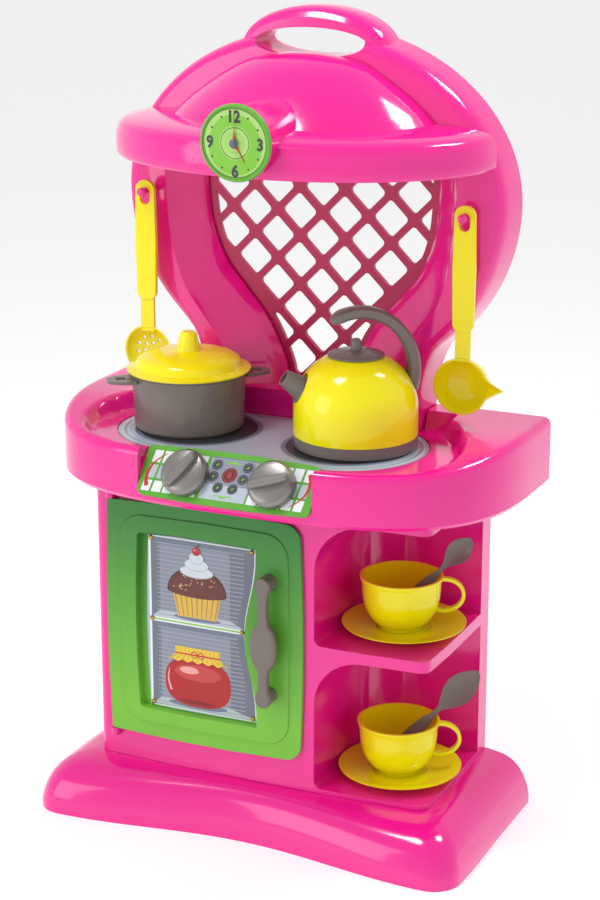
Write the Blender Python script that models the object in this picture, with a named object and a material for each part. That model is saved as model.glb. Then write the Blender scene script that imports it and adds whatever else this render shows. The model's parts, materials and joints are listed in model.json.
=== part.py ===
"""Toy kitchen: plinth, cabinet with oven and cup niches, worktop, round backboard with hood,
clock, lattice, and the loose cookware. Metres, +Z up, the front faces -Y, the origin is at the
middle of the footprint on the floor."""

import math

import bmesh
import bpy
from mathutils import Matrix, Vector

# ---- driving dimensions --------------------------------------------------------------
REAR = 0.1247  # y of the flat back
GAP = 0.0003  # between touching pieces
WALL = 0.0035  # moulded wall
TURNS = 28  # sides of a turned piece

PLINTH_HALF, PLINTH_DEPTH, PLINTH_WAIST, PLINTH_TOP = 0.238, 0.235, 0.213, 0.054
CABINET_HALF, CABINET_DEPTH, CABINET_TOP = 0.187, 0.176, 0.4050
OVEN = dict(x0=-0.158, x1=0.046, z0=0.094, z1=0.334, back=0.022)
NICHE_LEFT, NICHE_BACK, SHELF_UNDER = 0.066, 0.024, 0.203
FLOORS = {"lower": 0.0590, "upper": 0.2158}
CEILINGS = {"lower": SHELF_UNDER, "upper": 0.346}
WORKTOP_HALF, WORKTOP_DEPTH, WORKTOP_LOW, WORKTOP_TOP = 0.249, 0.2355, 0.361, 0.430
FRONT_DROP = 0.0140  # fall of the top towards its front edge
WELL = 0.4095  # height of the sunk middle of the worktop
FLUSH = WELL + 0.0022  # height of the top around it
HOB_X, HOB_Y, HOB_R, HOB_MID = 0.0825, 0.1240, 0.083, -0.0065
PANEL = dict(x=-0.008, depth=0.2205, z=0.3915, width=0.188, height=0.053, thick=0.003)
PANEL_TILT = math.radians(36)
KNOB_STEP, KNOB_R = 0.0475, 0.0240
DISC_HALF, DISC_MID, DISC_UP, DISC_DOWN = 0.212, 0.645, 0.170, 0.196
DISC_DEPTH, NECK_HALF, TOP = 0.052, 0.125, 0.835
HOOD_LOW, HOOD_HIGH = 0.688, 0.718
CLOCK = dict(z=0.724, r=0.0371, front=0.2170)
GRID, GRID_TOP, RIB = 0.0255, 0.6234, 0.0078
LATTICE_DEPTH, LATTICE_THICK = 0.012, 0.006
PEG_X, PEG_Z, PEG_R = 0.177, 0.640, 0.0036
PEG_LIFT = 0.0019  # of a peg above the middle of the round end of a slot
DOOR = dict(x0=-0.166, x1=0.053, z0=0.087, z1=0.342, thick=0.007)
HINGE_X, HINGE_DEPTH = -0.1640, 0.1815
POT = (-0.1025, 0.1195)
KETTLE, KETTLE_TURN = (0.0825, 0.1155), math.radians(34)
SAUCERS = {"lower": (0.1313, 0.106), "upper": (0.1313, 0.100)}

COLOURS = {
    "pink": (0.83, 0.02, 0.28, 1), "green": (0.12, 0.45, 0.05, 1), "yellow": (0.85, 0.74, 0.01, 1),
    "grey": (0.17, 0.15, 0.14, 1), "silver": (0.42, 0.41, 0.40, 1), "print": (0.45, 0.55, 0.66, 1),
    "red": (0.65, 0.02, 0.02, 1), "steel": (0.55, 0.55, 0.57, 1), "brass": (0.65, 0.45, 0.15, 1),
}


# ---- tools ---------------------------------------------------------------------------
def clear_scene():
    for thing in list(bpy.data.objects):
        bpy.data.objects.remove(thing, do_unlink=True)


def material(colour):
    name = "plastic_" + colour
    found = bpy.data.materials.get(name)
    if found:
        return found
    made = bpy.data.materials.new(name)
    made.use_nodes = True
    shader = made.node_tree.nodes["Principled BSDF"]
    shader.inputs["Base Color"].default_value = COLOURS[colour]
    shader.inputs["Roughness"].default_value = 0.3 if colour in ("silver", "steel", "brass") else 0.2
    shader.inputs["Metallic"].default_value = 1.0 if colour in ("steel", "brass") else 0.0
    return made


def at(x, depth, z):
    """A point given by its depth in front of the flat back."""
    return Vector((x, REAR - depth, z))


def finish_mesh(name, bm, colour, origin=(0, 0, 0), smooth=True):
    bmesh.ops.recalc_face_normals(bm, faces=bm.faces)
    bmesh.ops.translate(bm, verts=bm.verts, vec=-Vector(origin))
    mesh = bpy.data.meshes.new(name)
    bm.to_mesh(mesh)
    bm.free()
    made = bpy.data.objects.new(name, mesh)
    made.location = origin
    bpy.context.scene.collection.objects.link(made)
    if colour:
        mesh.materials.append(material(colour))
    else:
        made.hide_render = True
        made.display_type = "WIRE"
    if smooth:
        mesh.shade_smooth()
        mesh.set_sharp_from_angle(angle=math.radians(35))
    return made


def loft(name, rings, colour, origin=(0, 0, 0), ring_closed=False):
    """One closed skin through rings of equal length; its ends are capped, or meet."""
    bm = bmesh.new()
    loops = [[bm.verts.new(p) for p in ring] for ring in rings]
    count = len(loops[0])
    pairs = list(zip(loops, loops[1:]))
    if ring_closed:
        pairs.append((loops[-1], loops[0]))
    else:
        bm.faces.new(list(reversed(loops[0])))
        bm.faces.new(loops[-1])
    for a, b in pairs:
        for i in range(count):
            j = (i + 1) % count
            bm.faces.new((a[i], a[j], b[j], b[i]))
    return finish_mesh(name, bm, colour, origin)


def circle(radius, count=TURNS, start=0.0):
    return [(radius * math.cos(start + 2 * math.pi * i / count),
             radius * math.sin(start + 2 * math.pi * i / count)) for i in range(count)]


def turned(name, profile, centre, colour, count=TURNS):
    """A piece turned about the vertical through centre, from a list of (radius, height)."""
    rings = [[centre + Vector((x, y, z)) for x, y in circle(r, count)] for r, z in profile]
    return loft(name, rings, colour, centre)


def rounded(corners, steps=5):
    """Outline through (x, y, radius) corners, each rounded by an arc."""
    points = []
    for i, (x, y, radius) in enumerate(corners):
        here = Vector((x, y))
        before = Vector(corners[i - 1][:2]) - here
        after = Vector(corners[(i + 1) % len(corners)][:2]) - here
        if radius <= 0:
            points.append((x, y))
            continue
        before.normalize()
        after.normalize()
        half = before.angle(after) / 2
        reach = radius / math.tan(half)
        centre = here + (before + after).normalized() * (radius / math.sin(half))
        a, b = here + before * reach - centre, here + after * reach - centre
        turn = a.angle_signed(b)
        for k in range(steps + 1):
            arm = a.copy()
            arm.rotate(Matrix.Rotation(-turn * k / steps, 2))
            points.append(tuple(centre + arm))
    return points


def prism(name, outline, low, high, colour, axis="z", origin=(0, 0, 0)):
    """An outline in the plane across an axis, drawn out from low to high along it."""
    def place(u, v, w):
        return {"x": (w, u, v), "y": (u, w, v), "z": (u, v, w)}[axis]
    rings = [[Vector(place(u, v, w)) for u, v in outline] for w in (low, high)]
    return loft(name, rings, colour, origin)


def box(name, low, high, colour, origin=(0, 0, 0)):
    (x0, y0, z0), (x1, y1, z1) = low, high
    outline = [(x0, y0), (x1, y0), (x1, y1), (x0, y1)]
    return prism(name, outline, z0, z1, colour, "z", origin)


def cylinder(name, start, end, radius, colour, count=16, end_radius=None, origin=None):
    start, end = Vector(start), Vector(end)
    turn = (end - start).to_track_quat("Z", "Y").to_matrix()
    rings = []
    for centre, size in ((start, radius), (end, radius if end_radius is None else end_radius)):
        rings.append([centre + turn @ Vector((x, y, 0)) for x, y in circle(size, count)])
    return loft(name, rings, colour, start if origin is None else origin)


def combine(target, other, operation):
    made = target.modifiers.new(operation.lower(), "BOOLEAN")
    made.operation = operation
    made.object = other
    made.solver = "EXACT"
    if operation == "UNION" and not other.hide_render:
        other.hide_render = True
        other.display_type = "WIRE"
    return target


def cut(target, other):
    return combine(target, other, "DIFFERENCE")


def add(target, other):
    return combine(target, other, "UNION")


def mirrored(points):
    """The outline of a right half, from rear to front, closed by its mirror image."""
    left = [(-x, y) for x, y in reversed(points) if abs(x) > 1e-6]
    return points + left


# ---- plinth --------------------------------------------------------------------------
def plinth_outline(t):
    """The plinth's outline: t = 0 at the floor, t = 1 drawn in to the cabinet."""
    corner = 0.030
    outer, inner = [], []
    x_side = PLINTH_HALF
    outer += [(x_side, 0.0), (x_side, (PLINTH_DEPTH - corner) / 2), (x_side, PLINTH_DEPTH - corner)]
    for k in range(1, 7):
        a = math.pi / 2 * k / 6
        outer.append((x_side - corner + corner * math.cos(a),
                      PLINTH_DEPTH - corner + corner * math.sin(a)))
    for k in range(1, 9):
        s = 1 - k / 8
        swing = (1 - math.cos(math.pi * s)) / 2
        outer.append(((x_side - corner) * s, PLINTH_WAIST + (PLINTH_DEPTH - PLINTH_WAIST) * swing))
    half, depth, small = CABINET_HALF + 0.003, CABINET_DEPTH + 0.003, 0.014
    inner += [(half, 0.0), (half, (depth - small) / 2), (half, depth - small)]
    for k in range(1, 7):
        a = math.pi / 2 * k / 6
        inner.append((half - small + small * math.cos(a), depth - small + small * math.sin(a)))
    for k in range(1, 9):
        inner.append(((half - small) * (1 - k / 8), depth))
    return [(a[0] + t * (b[0] - a[0]), a[1] + t * (b[1] - a[1])) for a, b in zip(outer, inner)]


def ring_at(outline, z, back=0.0):
    """A mirrored half outline at a height, its rear edge a little in front of the back."""
    full = mirrored(outline)
    return [at(x, max(depth, back), z) for x, depth in full]


def plinth():
    flare = [(1.0, PLINTH_TOP), (0.80, 0.0525), (0.58, 0.050), (0.36, 0.044), (0.18, 0.034),
             (0.06, 0.021), (0.0, 0.007), (0.0, 0.0)]
    rings = [ring_at(plinth_outline(t), z) for t, z in flare]
    for t, z in reversed(flare):
        pulled = [(x * (1 - WALL / 0.2), d * (1 - WALL / 0.2)) for x, d in plinth_outline(t)]
        rings.append(ring_at(pulled, max(z - WALL, 0.0), WALL))
    return loft("base_plinth", rings, "pink")


# ---- cabinet -------------------------------------------------------------------------
def cabinet_outline(inset=0.0):
    corner = 0.012 - inset
    half, depth = CABINET_HALF - inset, CABINET_DEPTH - inset
    return rounded([(half, REAR, 0), (-half, REAR, 0), (-half, REAR - depth, corner),
                    (half, REAR - depth, corner)], 4)


def niche_space(name, floor, ceiling, grow):
    """Room of one niche: open to the front and to the right, its top left corner arched."""
    big, small = 0.052 + grow, 0.008 + grow
    left, back = NICHE_LEFT - grow, NICHE_BACK - grow
    z0, z1, far = floor - grow, ceiling + grow, 0.215
    front = rounded([(far, z0, 0), (far, z1, 0), (left, z1, big), (left, z0, small)], 7)
    plan = rounded([(far, REAR - 0.20, 0), (far, REAR - back, 0), (left, REAR - back, 0.040 + grow),
                    (left, REAR - 0.20, 0)], 6)
    space = prism(name, front, REAR - 0.199, REAR - back, None, "y")
    limit = prism(name + "_plan", plan, z0 - 0.01, z1 + 0.01, None, "z")
    return combine(space, limit, "INTERSECT")


def cabinet():
    z0, z1 = PLINTH_TOP + GAP, CABINET_TOP
    body = prism("cabinet", cabinet_outline(), z0, z1, "pink")
    inner = [(x, y + (0.05 if y > REAR - 0.01 else 0)) for x, y in cabinet_outline(WALL)]
    cut(body, prism("cabinet_room", inner, z0 + WALL, z1 + 0.02, None))
    lining = OVEN["z0"] - WALL, OVEN["z1"] + WALL
    oven = box("oven_lining", (OVEN["x0"] - WALL, REAR - CABINET_DEPTH + 0.001, lining[0]),
               (OVEN["x1"] + WALL, REAR - OVEN["back"] + WALL, lining[1]), None)
    add(body, oven)
    for level, floor in FLOORS.items():
        hull = niche_space("niche_lining_" + level, floor, CEILINGS[level], WALL)
        trim = prism("niche_trim_" + level, cabinet_outline(), z0, z1 - 0.02, None)
        add(body, combine(hull, trim, "INTERSECT"))
    cut(body, box("oven_room", (OVEN["x0"], REAR - CABINET_DEPTH - 0.02, OVEN["z0"]),
                  (OVEN["x1"], REAR - OVEN["back"], OVEN["z1"]), None))
    for level, floor in FLOORS.items():
        cut(body, niche_space("niche_room_" + level, floor, CEILINGS[level], 0.0))
    return body


def back_panel():
    half = CABINET_HALF - WALL - GAP
    low, high = PLINTH_TOP + WALL + 2 * GAP, CABINET_TOP - 0.004
    panel = box("back_panel", (-half, REAR - 0.0035, low), (half, REAR - 0.001, high), "pink")
    for i, (sx, z) in enumerate(((-1, low + 0.03), (1, low + 0.03), (-1, high - 0.03), (1, high - 0.03))):
        x = sx * (half - 0.015)
        shank = cylinder(f"screw_room_{i + 1}", (x, REAR - 0.02, z), (x, REAR + 0.02, z), 0.0021, None, 12)
        cut(panel, shank)
        head = [(0.0035, -0.0008), (0.0035, -0.0001), (0.0028, 0.0)]
        rings = [[Vector((x + u, REAR - 0.0007 + GAP + (w + 0.0001), z + v)) for u, v in circle(r, 12)]
                 for r, w in [(0.0017, -0.009), (0.0017, -0.0001 + 0.0), (0.0036, 0.0), (0.0030, 0.0002)]]
        loft(f"back_screw_{i + 1}", rings, "steel", (x, REAR, z))
    return panel


# ---- worktop -------------------------------------------------------------------------
def worktop_outline(inset=0.0):
    """Right half of the worktop's outline, from rear to front."""
    half, depth, power = WORKTOP_HALF - inset, WORKTOP_DEPTH - inset, 3.1
    straight, points = 0.030, []
    points.append((half, 0.0))
    for k in range(0, 13):
        a = math.pi / 2 * k / 12
        x = half * math.cos(a) ** (2 / power)
        points.append((max(x, 0.0), straight + (depth - straight) * math.sin(a) ** (2 / power)))
    return points


def eased(t):
    t = min(max(t, 0.0), 1.0)
    return t * t * (3 - 2 * t)


def edge_height(depth):
    """Height of the worktop's edge, which falls towards the front."""
    return WORKTOP_TOP - FRONT_DROP * eased((depth - 0.085) / (WORKTOP_DEPTH - 0.095))


def top_ring(outline, below):
    return [at(x, depth, edge_height(depth) - below) for x, depth in mirrored(outline)]


def wing_ring(s):
    """A ring of the top between the hobs (s = 0) and the edge (s = 1): low round the hobs, a raised pad on each wing."""
    reach, r = HOB_X - HOB_MID, HOB_R + 0.005
    inner = [(reach + 0.03, HOB_Y - r + 0.004)]
    inner += [(reach + r * math.cos(a), HOB_Y + r * math.sin(a)) for a in
              (math.radians(-66 + 156 * k / 9) for k in range(10))]
    inner += [(reach * t, HOB_Y + r) for t in (0.66, 0.33, 0.0)]
    ring = []
    for x, depth in mirrored([(i + (o - i) * s, j + (p - j) * s) for (i, j), (o, p) in
                              zip(inner, worktop_outline(0.008))]):
        rise = eased((s - 0.10 - 0.65 * min(max((depth - 0.09) / 0.11, 0.0), 1.0)) / 0.25)
        ring.append(at(x, depth, FLUSH + (edge_height(depth) - FLUSH) * rise))
    return ring


def worktop():
    top, low = WORKTOP_TOP, WORKTOP_LOW
    rings = [wing_ring(k / 10) for k in range(11)]
    rings += [top_ring(worktop_outline(0.0025), 0.002), top_ring(worktop_outline(), 0.008)]
    rings += [ring_at(worktop_outline(i), z) for i, z in ((0.0, low + 0.004), (0.003, low))]
    rings.append(ring_at(worktop_outline(0.003 + WALL), low, WALL))
    rings.append(ring_at(worktop_outline(WALL), low + 0.006, WALL))
    ceiling = CABINET_TOP + GAP
    rings.append(ring_at(worktop_outline(0.006), ceiling, WALL))
    body = loft("worktop", rings, "pink")
    cut(body, box("cabinet_seat", (-CABINET_HALF - GAP, REAR - 0.03, low - 0.01),
                  (CABINET_HALF + GAP, REAR + 0.01, ceiling), None))
    well = mirrored_well(0.0015)
    cut(body, prism("worktop_well", well, WELL, top + 0.03, None))
    foot = NECK_HALF + GAP
    cut(body, box("backboard_seat", (-foot, REAR - DISC_DEPTH - GAP, WELL), (foot, REAR + 0.01, top + 0.03), None))
    wedge = panel_frame("panel_seat", PANEL["width"] + 0.002, 0.0, 0.05, 0.080, None)
    cut(body, wedge)
    for side in (-1, 1):
        cut(body, knob_shaft(f"knob_room_{side}", side, 0.0048, None, -0.03, 0.02))
    return body


def mirrored_well(grow):
    """Outline of the sunk middle: round the two hobs, and out to the front over the panel."""
    r = HOB_R + grow
    points = []
    for k in range(13):
        a = math.pi / 2 - math.pi * k / 12
        points.append((HOB_MID + HOB_X + r * math.cos(a), REAR - HOB_Y + r * math.sin(a)))
    front = REAR - WORKTOP_DEPTH - 0.02
    half = PANEL["width"] / 2 + 0.0006
    points += [(PANEL["x"] + half, REAR - HOB_Y - r), (PANEL["x"] + half, front),
               (PANEL["x"] - half, front), (PANEL["x"] - half, REAR - HOB_Y - r)]
    for k in range(13):
        a = -math.pi / 2 - math.pi * k / 12
        points.append((HOB_MID - HOB_X + r * math.cos(a), REAR - HOB_Y + r * math.sin(a)))
    return points


def hob_plate():
    points = []
    for side in (1, -1):
        for k in range(15):
            a = side * math.pi / 2 - math.pi * k / 14
            depth = HOB_Y - HOB_R * math.sin(a)
            depth = min(max(depth, DISC_DEPTH + 0.0012), 0.2045)
            points.append((HOB_MID + side * HOB_X + HOB_R * math.cos(a), REAR - depth))
    return prism("hob_plate", points, WELL + GAP, WELL + 0.0018, "print")


# ---- control panel and knobs ---------------------------------------------------------
def panel_matrix():
    """Frame on the panel: x along it, y up its slope, z out of its face."""
    turn = Matrix.Rotation(math.pi / 2 - PANEL_TILT, 4, "X")
    return Matrix.Translation(at(PANEL["x"], PANEL["depth"], PANEL["z"])) @ turn


def panel_frame(name, width, low, high, height, colour, corner=0.0):
    frame = panel_matrix()
    outline = rounded([(width / 2, -height / 2, corner), (width / 2, height / 2, corner),
                       (-width / 2, height / 2, corner), (-width / 2, -height / 2, corner)], 4)
    rings = [[frame @ Vector((u, v, w)) for u, v in outline] for w in (low, high)]
    return loft(name, rings, colour, tuple(frame.translation))


def knob_centre(side):
    return Vector((side * KNOB_STEP + 0.0025, 0.0, 0.0))


def knob_shaft(name, side, radius, colour, low, high):
    frame, c = panel_matrix(), knob_centre(side)
    return cylinder(name, frame @ (c + Vector((0, 0, low))), frame @ (c + Vector((0, 0, high))),
                    radius, colour, 12)


def control_panel():
    panel = panel_frame("control_panel", PANEL["width"], GAP, PANEL["thick"], PANEL["height"],
                        "green", 0.007)
    for side in (-1, 1):
        cut(panel, knob_shaft(f"panel_hole_{side}", side, 0.0048, None, -0.03, 0.02))
    return panel


def knob(side, name, point):
    """A round knob with a bar grip across it, turned to point, on a split shaft."""
    frame, c = panel_matrix(), knob_centre(side)
    low = PANEL["thick"] + 0.0006
    outline = [(0.0040, -0.012), (0.0040, low), (KNOB_R, low), (KNOB_R, low + 0.008),
               (KNOB_R - 0.0025, low + 0.0115), (KNOB_R - 0.006, low + 0.0125)]
    rings = [[frame @ (c + Vector((x, y, z))) for x, y in circle(r, 24)] for r, z in outline]
    body = loft(name, rings, "silver", tuple(frame @ c))
    spin = Matrix.Rotation(point, 4, "Z")
    grip = []
    for w, long, wide in ((low + 0.010, 0.0215, 0.0050), (low + 0.0185, 0.0205, 0.0036),
                          (low + 0.0200, 0.0190, 0.0024)):
        pts = rounded([(long, wide, wide * 0.8), (-long, wide, wide * 0.8),
                       (-long, -wide, wide * 0.8), (long, -wide, wide * 0.8)], 2)
        grip.append([frame @ Matrix.Translation(c) @ spin @ Vector((u, v, w)) for u, v in pts])
    return add(body, loft(name + "_grip", grip, None))


# ---- backboard -----------------------------------------------------------------------
def disc_outline(inset=0.0, foot=0.0):
    """Right half of the backboard's outline from the foot up to the top, as (x, z)."""
    points = [(NECK_HALF - inset, WELL + GAP + foot), (NECK_HALF - inset, 0.452),
              (NECK_HALF + 0.006 - inset, 0.476), (NECK_HALF + 0.015 - inset, 0.497)]
    for k in range(0, 22):
        a = math.radians(-43 + 133 * k / 21)
        up = DISC_UP if a > 0 else DISC_DOWN
        points.append(((DISC_HALF - inset) * math.cos(a), DISC_MID + (up - inset) * math.sin(a)))
    return points


def handle_outline(inset=0.0):
    """The raised grip's outline: a flat oval over the top of the disc, as (x, z)."""
    return [((0.081 - inset) * math.cos(a), 0.793 + (TOP - 0.793 - inset) * math.sin(a))
            for a in (2 * math.pi * k / 32 for k in range(32))]


def window_outline(grow=0.0, wide=0.0):
    """The vase-shaped opening of the backboard, as (x, z), right half from foot to top."""
    half = [(0.036, 0.440, 0.083), (0.038, 0.458, 0.088), (0.047, 0.482, 0.098), (0.062, 0.510, 0.118),
            (0.087, 0.540, 0.1395), (0.109, 0.567, 0.1500), (0.124, 0.603, 0.1575), (0.129, 0.640, 0.1610),
            (0.129, 0.700, 0.1610)]
    out = [(x + wide * (far - x) + grow, z) for x, z, far in half]
    out[0] = (out[0][0], out[0][1] - grow)
    out[-1] = (out[-1][0], out[-1][1] + grow)
    return out


def both_sides(half):
    return half + [(-x, z) for x, z in reversed(half) if x > 1e-6]


def backboard():
    """A shell open to the rear: rim, front face, window frame and grip with its hand slot."""
    steps = [(0.0, 0.0), (0.002, 0.030), (0.004, DISC_DEPTH - 0.010), (0.008, DISC_DEPTH - 0.003),
             (0.014, DISC_DEPTH)]
    rings = [[at(x, depth, z) for x, z in both_sides(disc_outline(i))] for i, depth in steps]
    rings = rings[::-1]
    rings += [[at(x, depth, z) for x, z in both_sides(disc_outline(i + WALL, WALL))]
              for i, depth in ((0.0, 0.0), (0.004, DISC_DEPTH - 0.012), (0.014, DISC_DEPTH - WALL))]
    body = loft("backboard", rings, "pink")
    grip_steps = [(0.0035, 0.0), (0.0, 0.004), (0.0, 0.030), (0.003, 0.038), (0.010, 0.043)]
    grip = loft("grip_blank", [[at(x, depth, z) for x, z in handle_outline(i)]
                               for i, depth in grip_steps], None)
    add(body, grip)
    flare = [(0.0, 0.0), (0.019, 0.0), (0.027, 0.18), (0.036, 0.52), (0.044, 0.80), (DISC_DEPTH, 1.0)]
    frame = [[at(x, depth, z) for x, z in both_sides(window_outline(WALL + 0.001, t))] for depth, t in flare]
    frame[0] = [p - Vector((0, 0.002, 0)) for p in frame[0]]
    frame[-1] = [p + Vector((0, 0.001, 0)) for p in frame[-1]]
    add(body, loft("window_frame", frame, None))
    flare = [(-0.02, 0.0)] + flare[1:] + [(DISC_DEPTH + 0.02, 1.25)]
    cut(body, loft("window_room", [[at(x, depth, z) for x, z in both_sides(window_outline(0.0, t))]
                                   for depth, t in flare], None))
    slot = [[at(x, depth, z) for x, z in
             (((0.060 + 0.0001 * 0) * math.cos(a), 0.8005 + 0.0145 * math.sin(a))
              for a in (2 * math.pi * k / 28 for k in range(28)))] for depth in (-0.02, 0.08)]
    return cut(body, loft("grip_slot", slot, None))


def lattice():
    """The plate of diamonds behind the window."""
    outline = both_sides([(x - 0.0006, z) for x, z in window_outline(-GAP)])
    plate = loft("lattice_grille", [[at(x, depth, z) for x, z in outline] for depth in
                                    (LATTICE_DEPTH - LATTICE_THICK / 2, LATTICE_DEPTH + LATTICE_THICK / 2)],
                 "pink")
    bm = bmesh.new()
    reach, nip = GRID - RIB * 0.64, 0.0026
    for row in range(-2, 8):
        for column in range(-5, 6):
            x, z = column * GRID, GRID_TOP - row * GRID * 1.012
            if (row + column) % 2 == 0 or not in_window(x, z):
                continue
            hole = [(x + reach - nip, z - nip), (x + reach - nip, z + nip), (x + nip, z + reach - nip),
                    (x - nip, z + reach - nip), (x - reach + nip, z + nip), (x - reach + nip, z - nip),
                    (x - nip, z - reach + nip), (x + nip, z - reach + nip)]
            ends = [[bm.verts.new(at(u, depth, v)) for u, v in hole] for depth in (0.0, 0.03)]
            bm.faces.new(list(reversed(ends[0])))
            bm.faces.new(ends[1])
            for i in range(8):
                j = (i + 1) % 8
                bm.faces.new((ends[0][i], ends[0][j], ends[1][j], ends[1][i]))
    holes = finish_mesh("lattice_holes", bm, None)
    inside = both_sides([(x - 0.0040, z) for x, z in window_outline(-0.003)])
    limit = loft("lattice_limit", [[at(x, depth, z) for x, z in inside] for depth in (0.001, 0.029)], None)
    return cut(plate, combine(holes, limit, "INTERSECT"))


def in_window(x, z):
    """Whether enough of a hole centred here lies inside the window."""
    half = window_outline(0.004)
    if not half[0][1] < z < half[-1][1]:
        return False
    for (x0, z0), (x1, z1) in zip(half[1:], half[2:]):
        if z0 <= z <= z1:
            return abs(x) < x0 + (x1 - x0) * (z - z0) / (z1 - z0)
    return abs(x) < half[1][0]


# ---- hood and clock ------------------------------------------------------------------
def hood_ring(half, depth, z, power, back):
    """A D-shaped ring: flat at the back, bowed to the front."""
    points = [(half, back)]
    for k in range(0, 17):
        a = math.pi * k / 16
        c, s = math.cos(a), math.sin(a)
        points.append((half * math.copysign(abs(c) ** (2 / power), c),
                       back + 0.002 + (depth - back - 0.002) * s ** (2 / power)))
    points.append((-half, back))
    return [at(x, d, z) for x, d in points]


def hood():
    back = DISC_DEPTH + GAP
    outer = [(0.018, 0.068, 0.7915, 2.0), (0.060, 0.092, 0.784, 2.0), (0.100, 0.124, 0.762, 2.0),
             (0.126, 0.144, 0.742, 2.0), (0.139, 0.155, 0.729, 2.0), (0.190, 0.1925, 0.7235, 2.0),
             (0.1975, 0.199, 0.7195, 2.0), (0.2010, 0.2015, 0.7120, 2.0), (0.202, 0.202, HOOD_LOW + 0.003, 2.0),
             (0.200, 0.200, HOOD_LOW, 2.0)]
    rings = [hood_ring(h, d, z, p, back) for h, d, z, p in outer]
    inner = [(0.200, 0.200, HOOD_LOW, 2.0), (0.201, 0.201, 0.706, 2.0), (0.188, 0.192, 0.7165, 2.0),
             (0.139, 0.155, 0.7240, 2.0), (0.120, 0.138, 0.738, 2.0), (0.094, 0.116, 0.756, 2.0),
             (0.050, 0.084, 0.774, 2.0)]
    rings += [hood_ring(h - WALL, d - WALL, z, p, back + WALL) for h, d, z, p in inner]
    body = loft("canopy_hood", rings, "pink")
    z, front = CLOCK["z"], CLOCK["front"] - 0.006
    add(body, cylinder("barrel", at(0, 0.100, z), at(0, front, z), 0.0335, None, 28))
    return cut(body, cylinder("barrel_room", at(0, 0.062, z), at(0, front - 0.004, z), 0.0300, None, 28))


def clock():
    z, front, r = CLOCK["z"], CLOCK["front"], CLOCK["r"]
    back = front - 0.0060 + GAP

    def disc(name, steps, colour, count=32):
        rings = [[at(x, depth, z + v) for x, v in circle(radius, count)] for radius, depth in steps]
        return loft(name, rings, colour, at(0, front, z))
    disc("clock_bezel", [(r - 0.0012, back), (r, back + 0.002), (r, front - 0.0018), (r - 0.001, front - 0.0003),
                         (r - 0.003, front - 0.0003), (r - 0.003, front - 0.0018)], "green")
    disc("clock_dial", [(r - 0.0034, front - 0.0018 + GAP), (r - 0.0034, front - 0.0010)], "green")
    for name, length, depth, turn, tail in (("clock_hour_hand", 0.021, front - 0.0007, -150, 0.004),
                                            ("clock_minute_hand", 0.0325, front + 0.0005, 0, 0.005)):
        blade = [(0.0, length), (-0.0013, 0.004), (-0.0030, 0.0), (-0.0011, -tail), (0.0011, -tail),
                 (0.0030, 0.0), (0.0013, 0.004)]
        spin = Matrix.Rotation(math.radians(turn), 2)
        outline = [spin @ Vector(p) for p in blade]
        rings = [[at(p.x, d, z + p.y) for p in outline] for d in (depth, depth + 0.0008)]
        loft(name, rings, "red", at(0, depth, z))
    disc("clock_hub", [(0.0042, front + 0.0016), (0.0042, front + 0.0030), (0.0034, front + 0.0044),
                       (0.0018, front + 0.0052)], "steel", 16)


# ---- pegs, skimmer and ladle ---------------------------------------------------------
def pegs():
    for side, name in ((-1, "peg_left"), (1, "peg_right")):
        steps = [(PEG_R, DISC_DEPTH + GAP), (PEG_R, 0.0740), (PEG_R + 0.0010, 0.0760), (PEG_R + 0.0006, 0.0790),
                 (PEG_R - 0.0016, 0.0800)]
        z = PEG_Z + PEG_LIFT
        rings = [[at(side * PEG_X + x, depth, z + v) for x, v in circle(r, 14)] for r, depth in steps]
        loft(name, rings, "pink", at(side * PEG_X, DISC_DEPTH, z))


def strip(name, outline, low, high, colour, origin):
    return loft(name, [[at(x, d, z) for x, z in outline] for d in (low, high)], colour, origin)


def utensil_handle(name, x, low, top, foot, colour):
    """Flat grip with a slot at its top, narrowing to a shank."""
    wide, slim, front = 0.0108, 0.0078, 0.0700
    body = strip(name, rounded([(x - wide, top, 0.0107), (x + wide, top, 0.0107), (x + wide, low, 0.008),
                                (x - wide, low, 0.008)], 5), front - 0.0045, front, colour,
                 at(x, front, PEG_Z + PEG_LIFT))
    shank = strip(name + "_shank", [(x - slim, foot), (x + slim, foot), (x + slim, low + 0.012),
                                    (x - slim, low + 0.012)], front - 0.0042, front - 0.0012, None, (0, 0, 0))
    add(body, shank)
    half, depth = 0.0058, 0.0120
    slot = rounded([(x - half, PEG_Z + half, half * 0.98), (x + half, PEG_Z + half, half * 0.98),
                    (x + half, PEG_Z - depth, half * 0.98), (x - half, PEG_Z - depth, half * 0.98)], 5)
    return body, strip(name + "_slot", slot, 0.05, 0.09, None, (0, 0, 0))


def skimmer():
    x = -PEG_X
    body, slot = utensil_handle("skimmer", x, 0.527, 0.6535, 0.492, "yellow")
    bowl_z, r = 0.4710, 0.0275
    front = 0.0690
    steps = [(0.010, front - 0.0085), (0.018, front - 0.0070), (0.024, front - 0.0040), (r, front),
             (r - 0.002, front), (0.0225, front - 0.0022), (0.017, front - 0.0048), (0.009, front - 0.0063)]
    rings = [[at(x + u, d, bowl_z + v) for u, v in circle(size, 24)] for size, d in steps]
    add(body, loft("skimmer_bowl", rings, None))
    cut(body, slot)
    holes = bmesh.new()
    for ring, count in ((0.0, 1), (0.0075, 6), (0.0150, 10)):
        for k in range(count):
            a = 2 * math.pi * k / count + 0.2
            cx, cz = x + ring * math.cos(a), bowl_z + ring * math.sin(a)
            ends = [[holes.verts.new(at(cx + u, d, cz + v)) for u, v in circle(0.0018, 8)] for d in (0.05, 0.08)]
            holes.faces.new(list(reversed(ends[0])))
            holes.faces.new(ends[1])
            for i in range(8):
                j = (i + 1) % 8
                holes.faces.new((ends[0][i], ends[0][j], ends[1][j], ends[1][i]))
    return cut(body, finish_mesh("skimmer_holes", holes, None))


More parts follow.
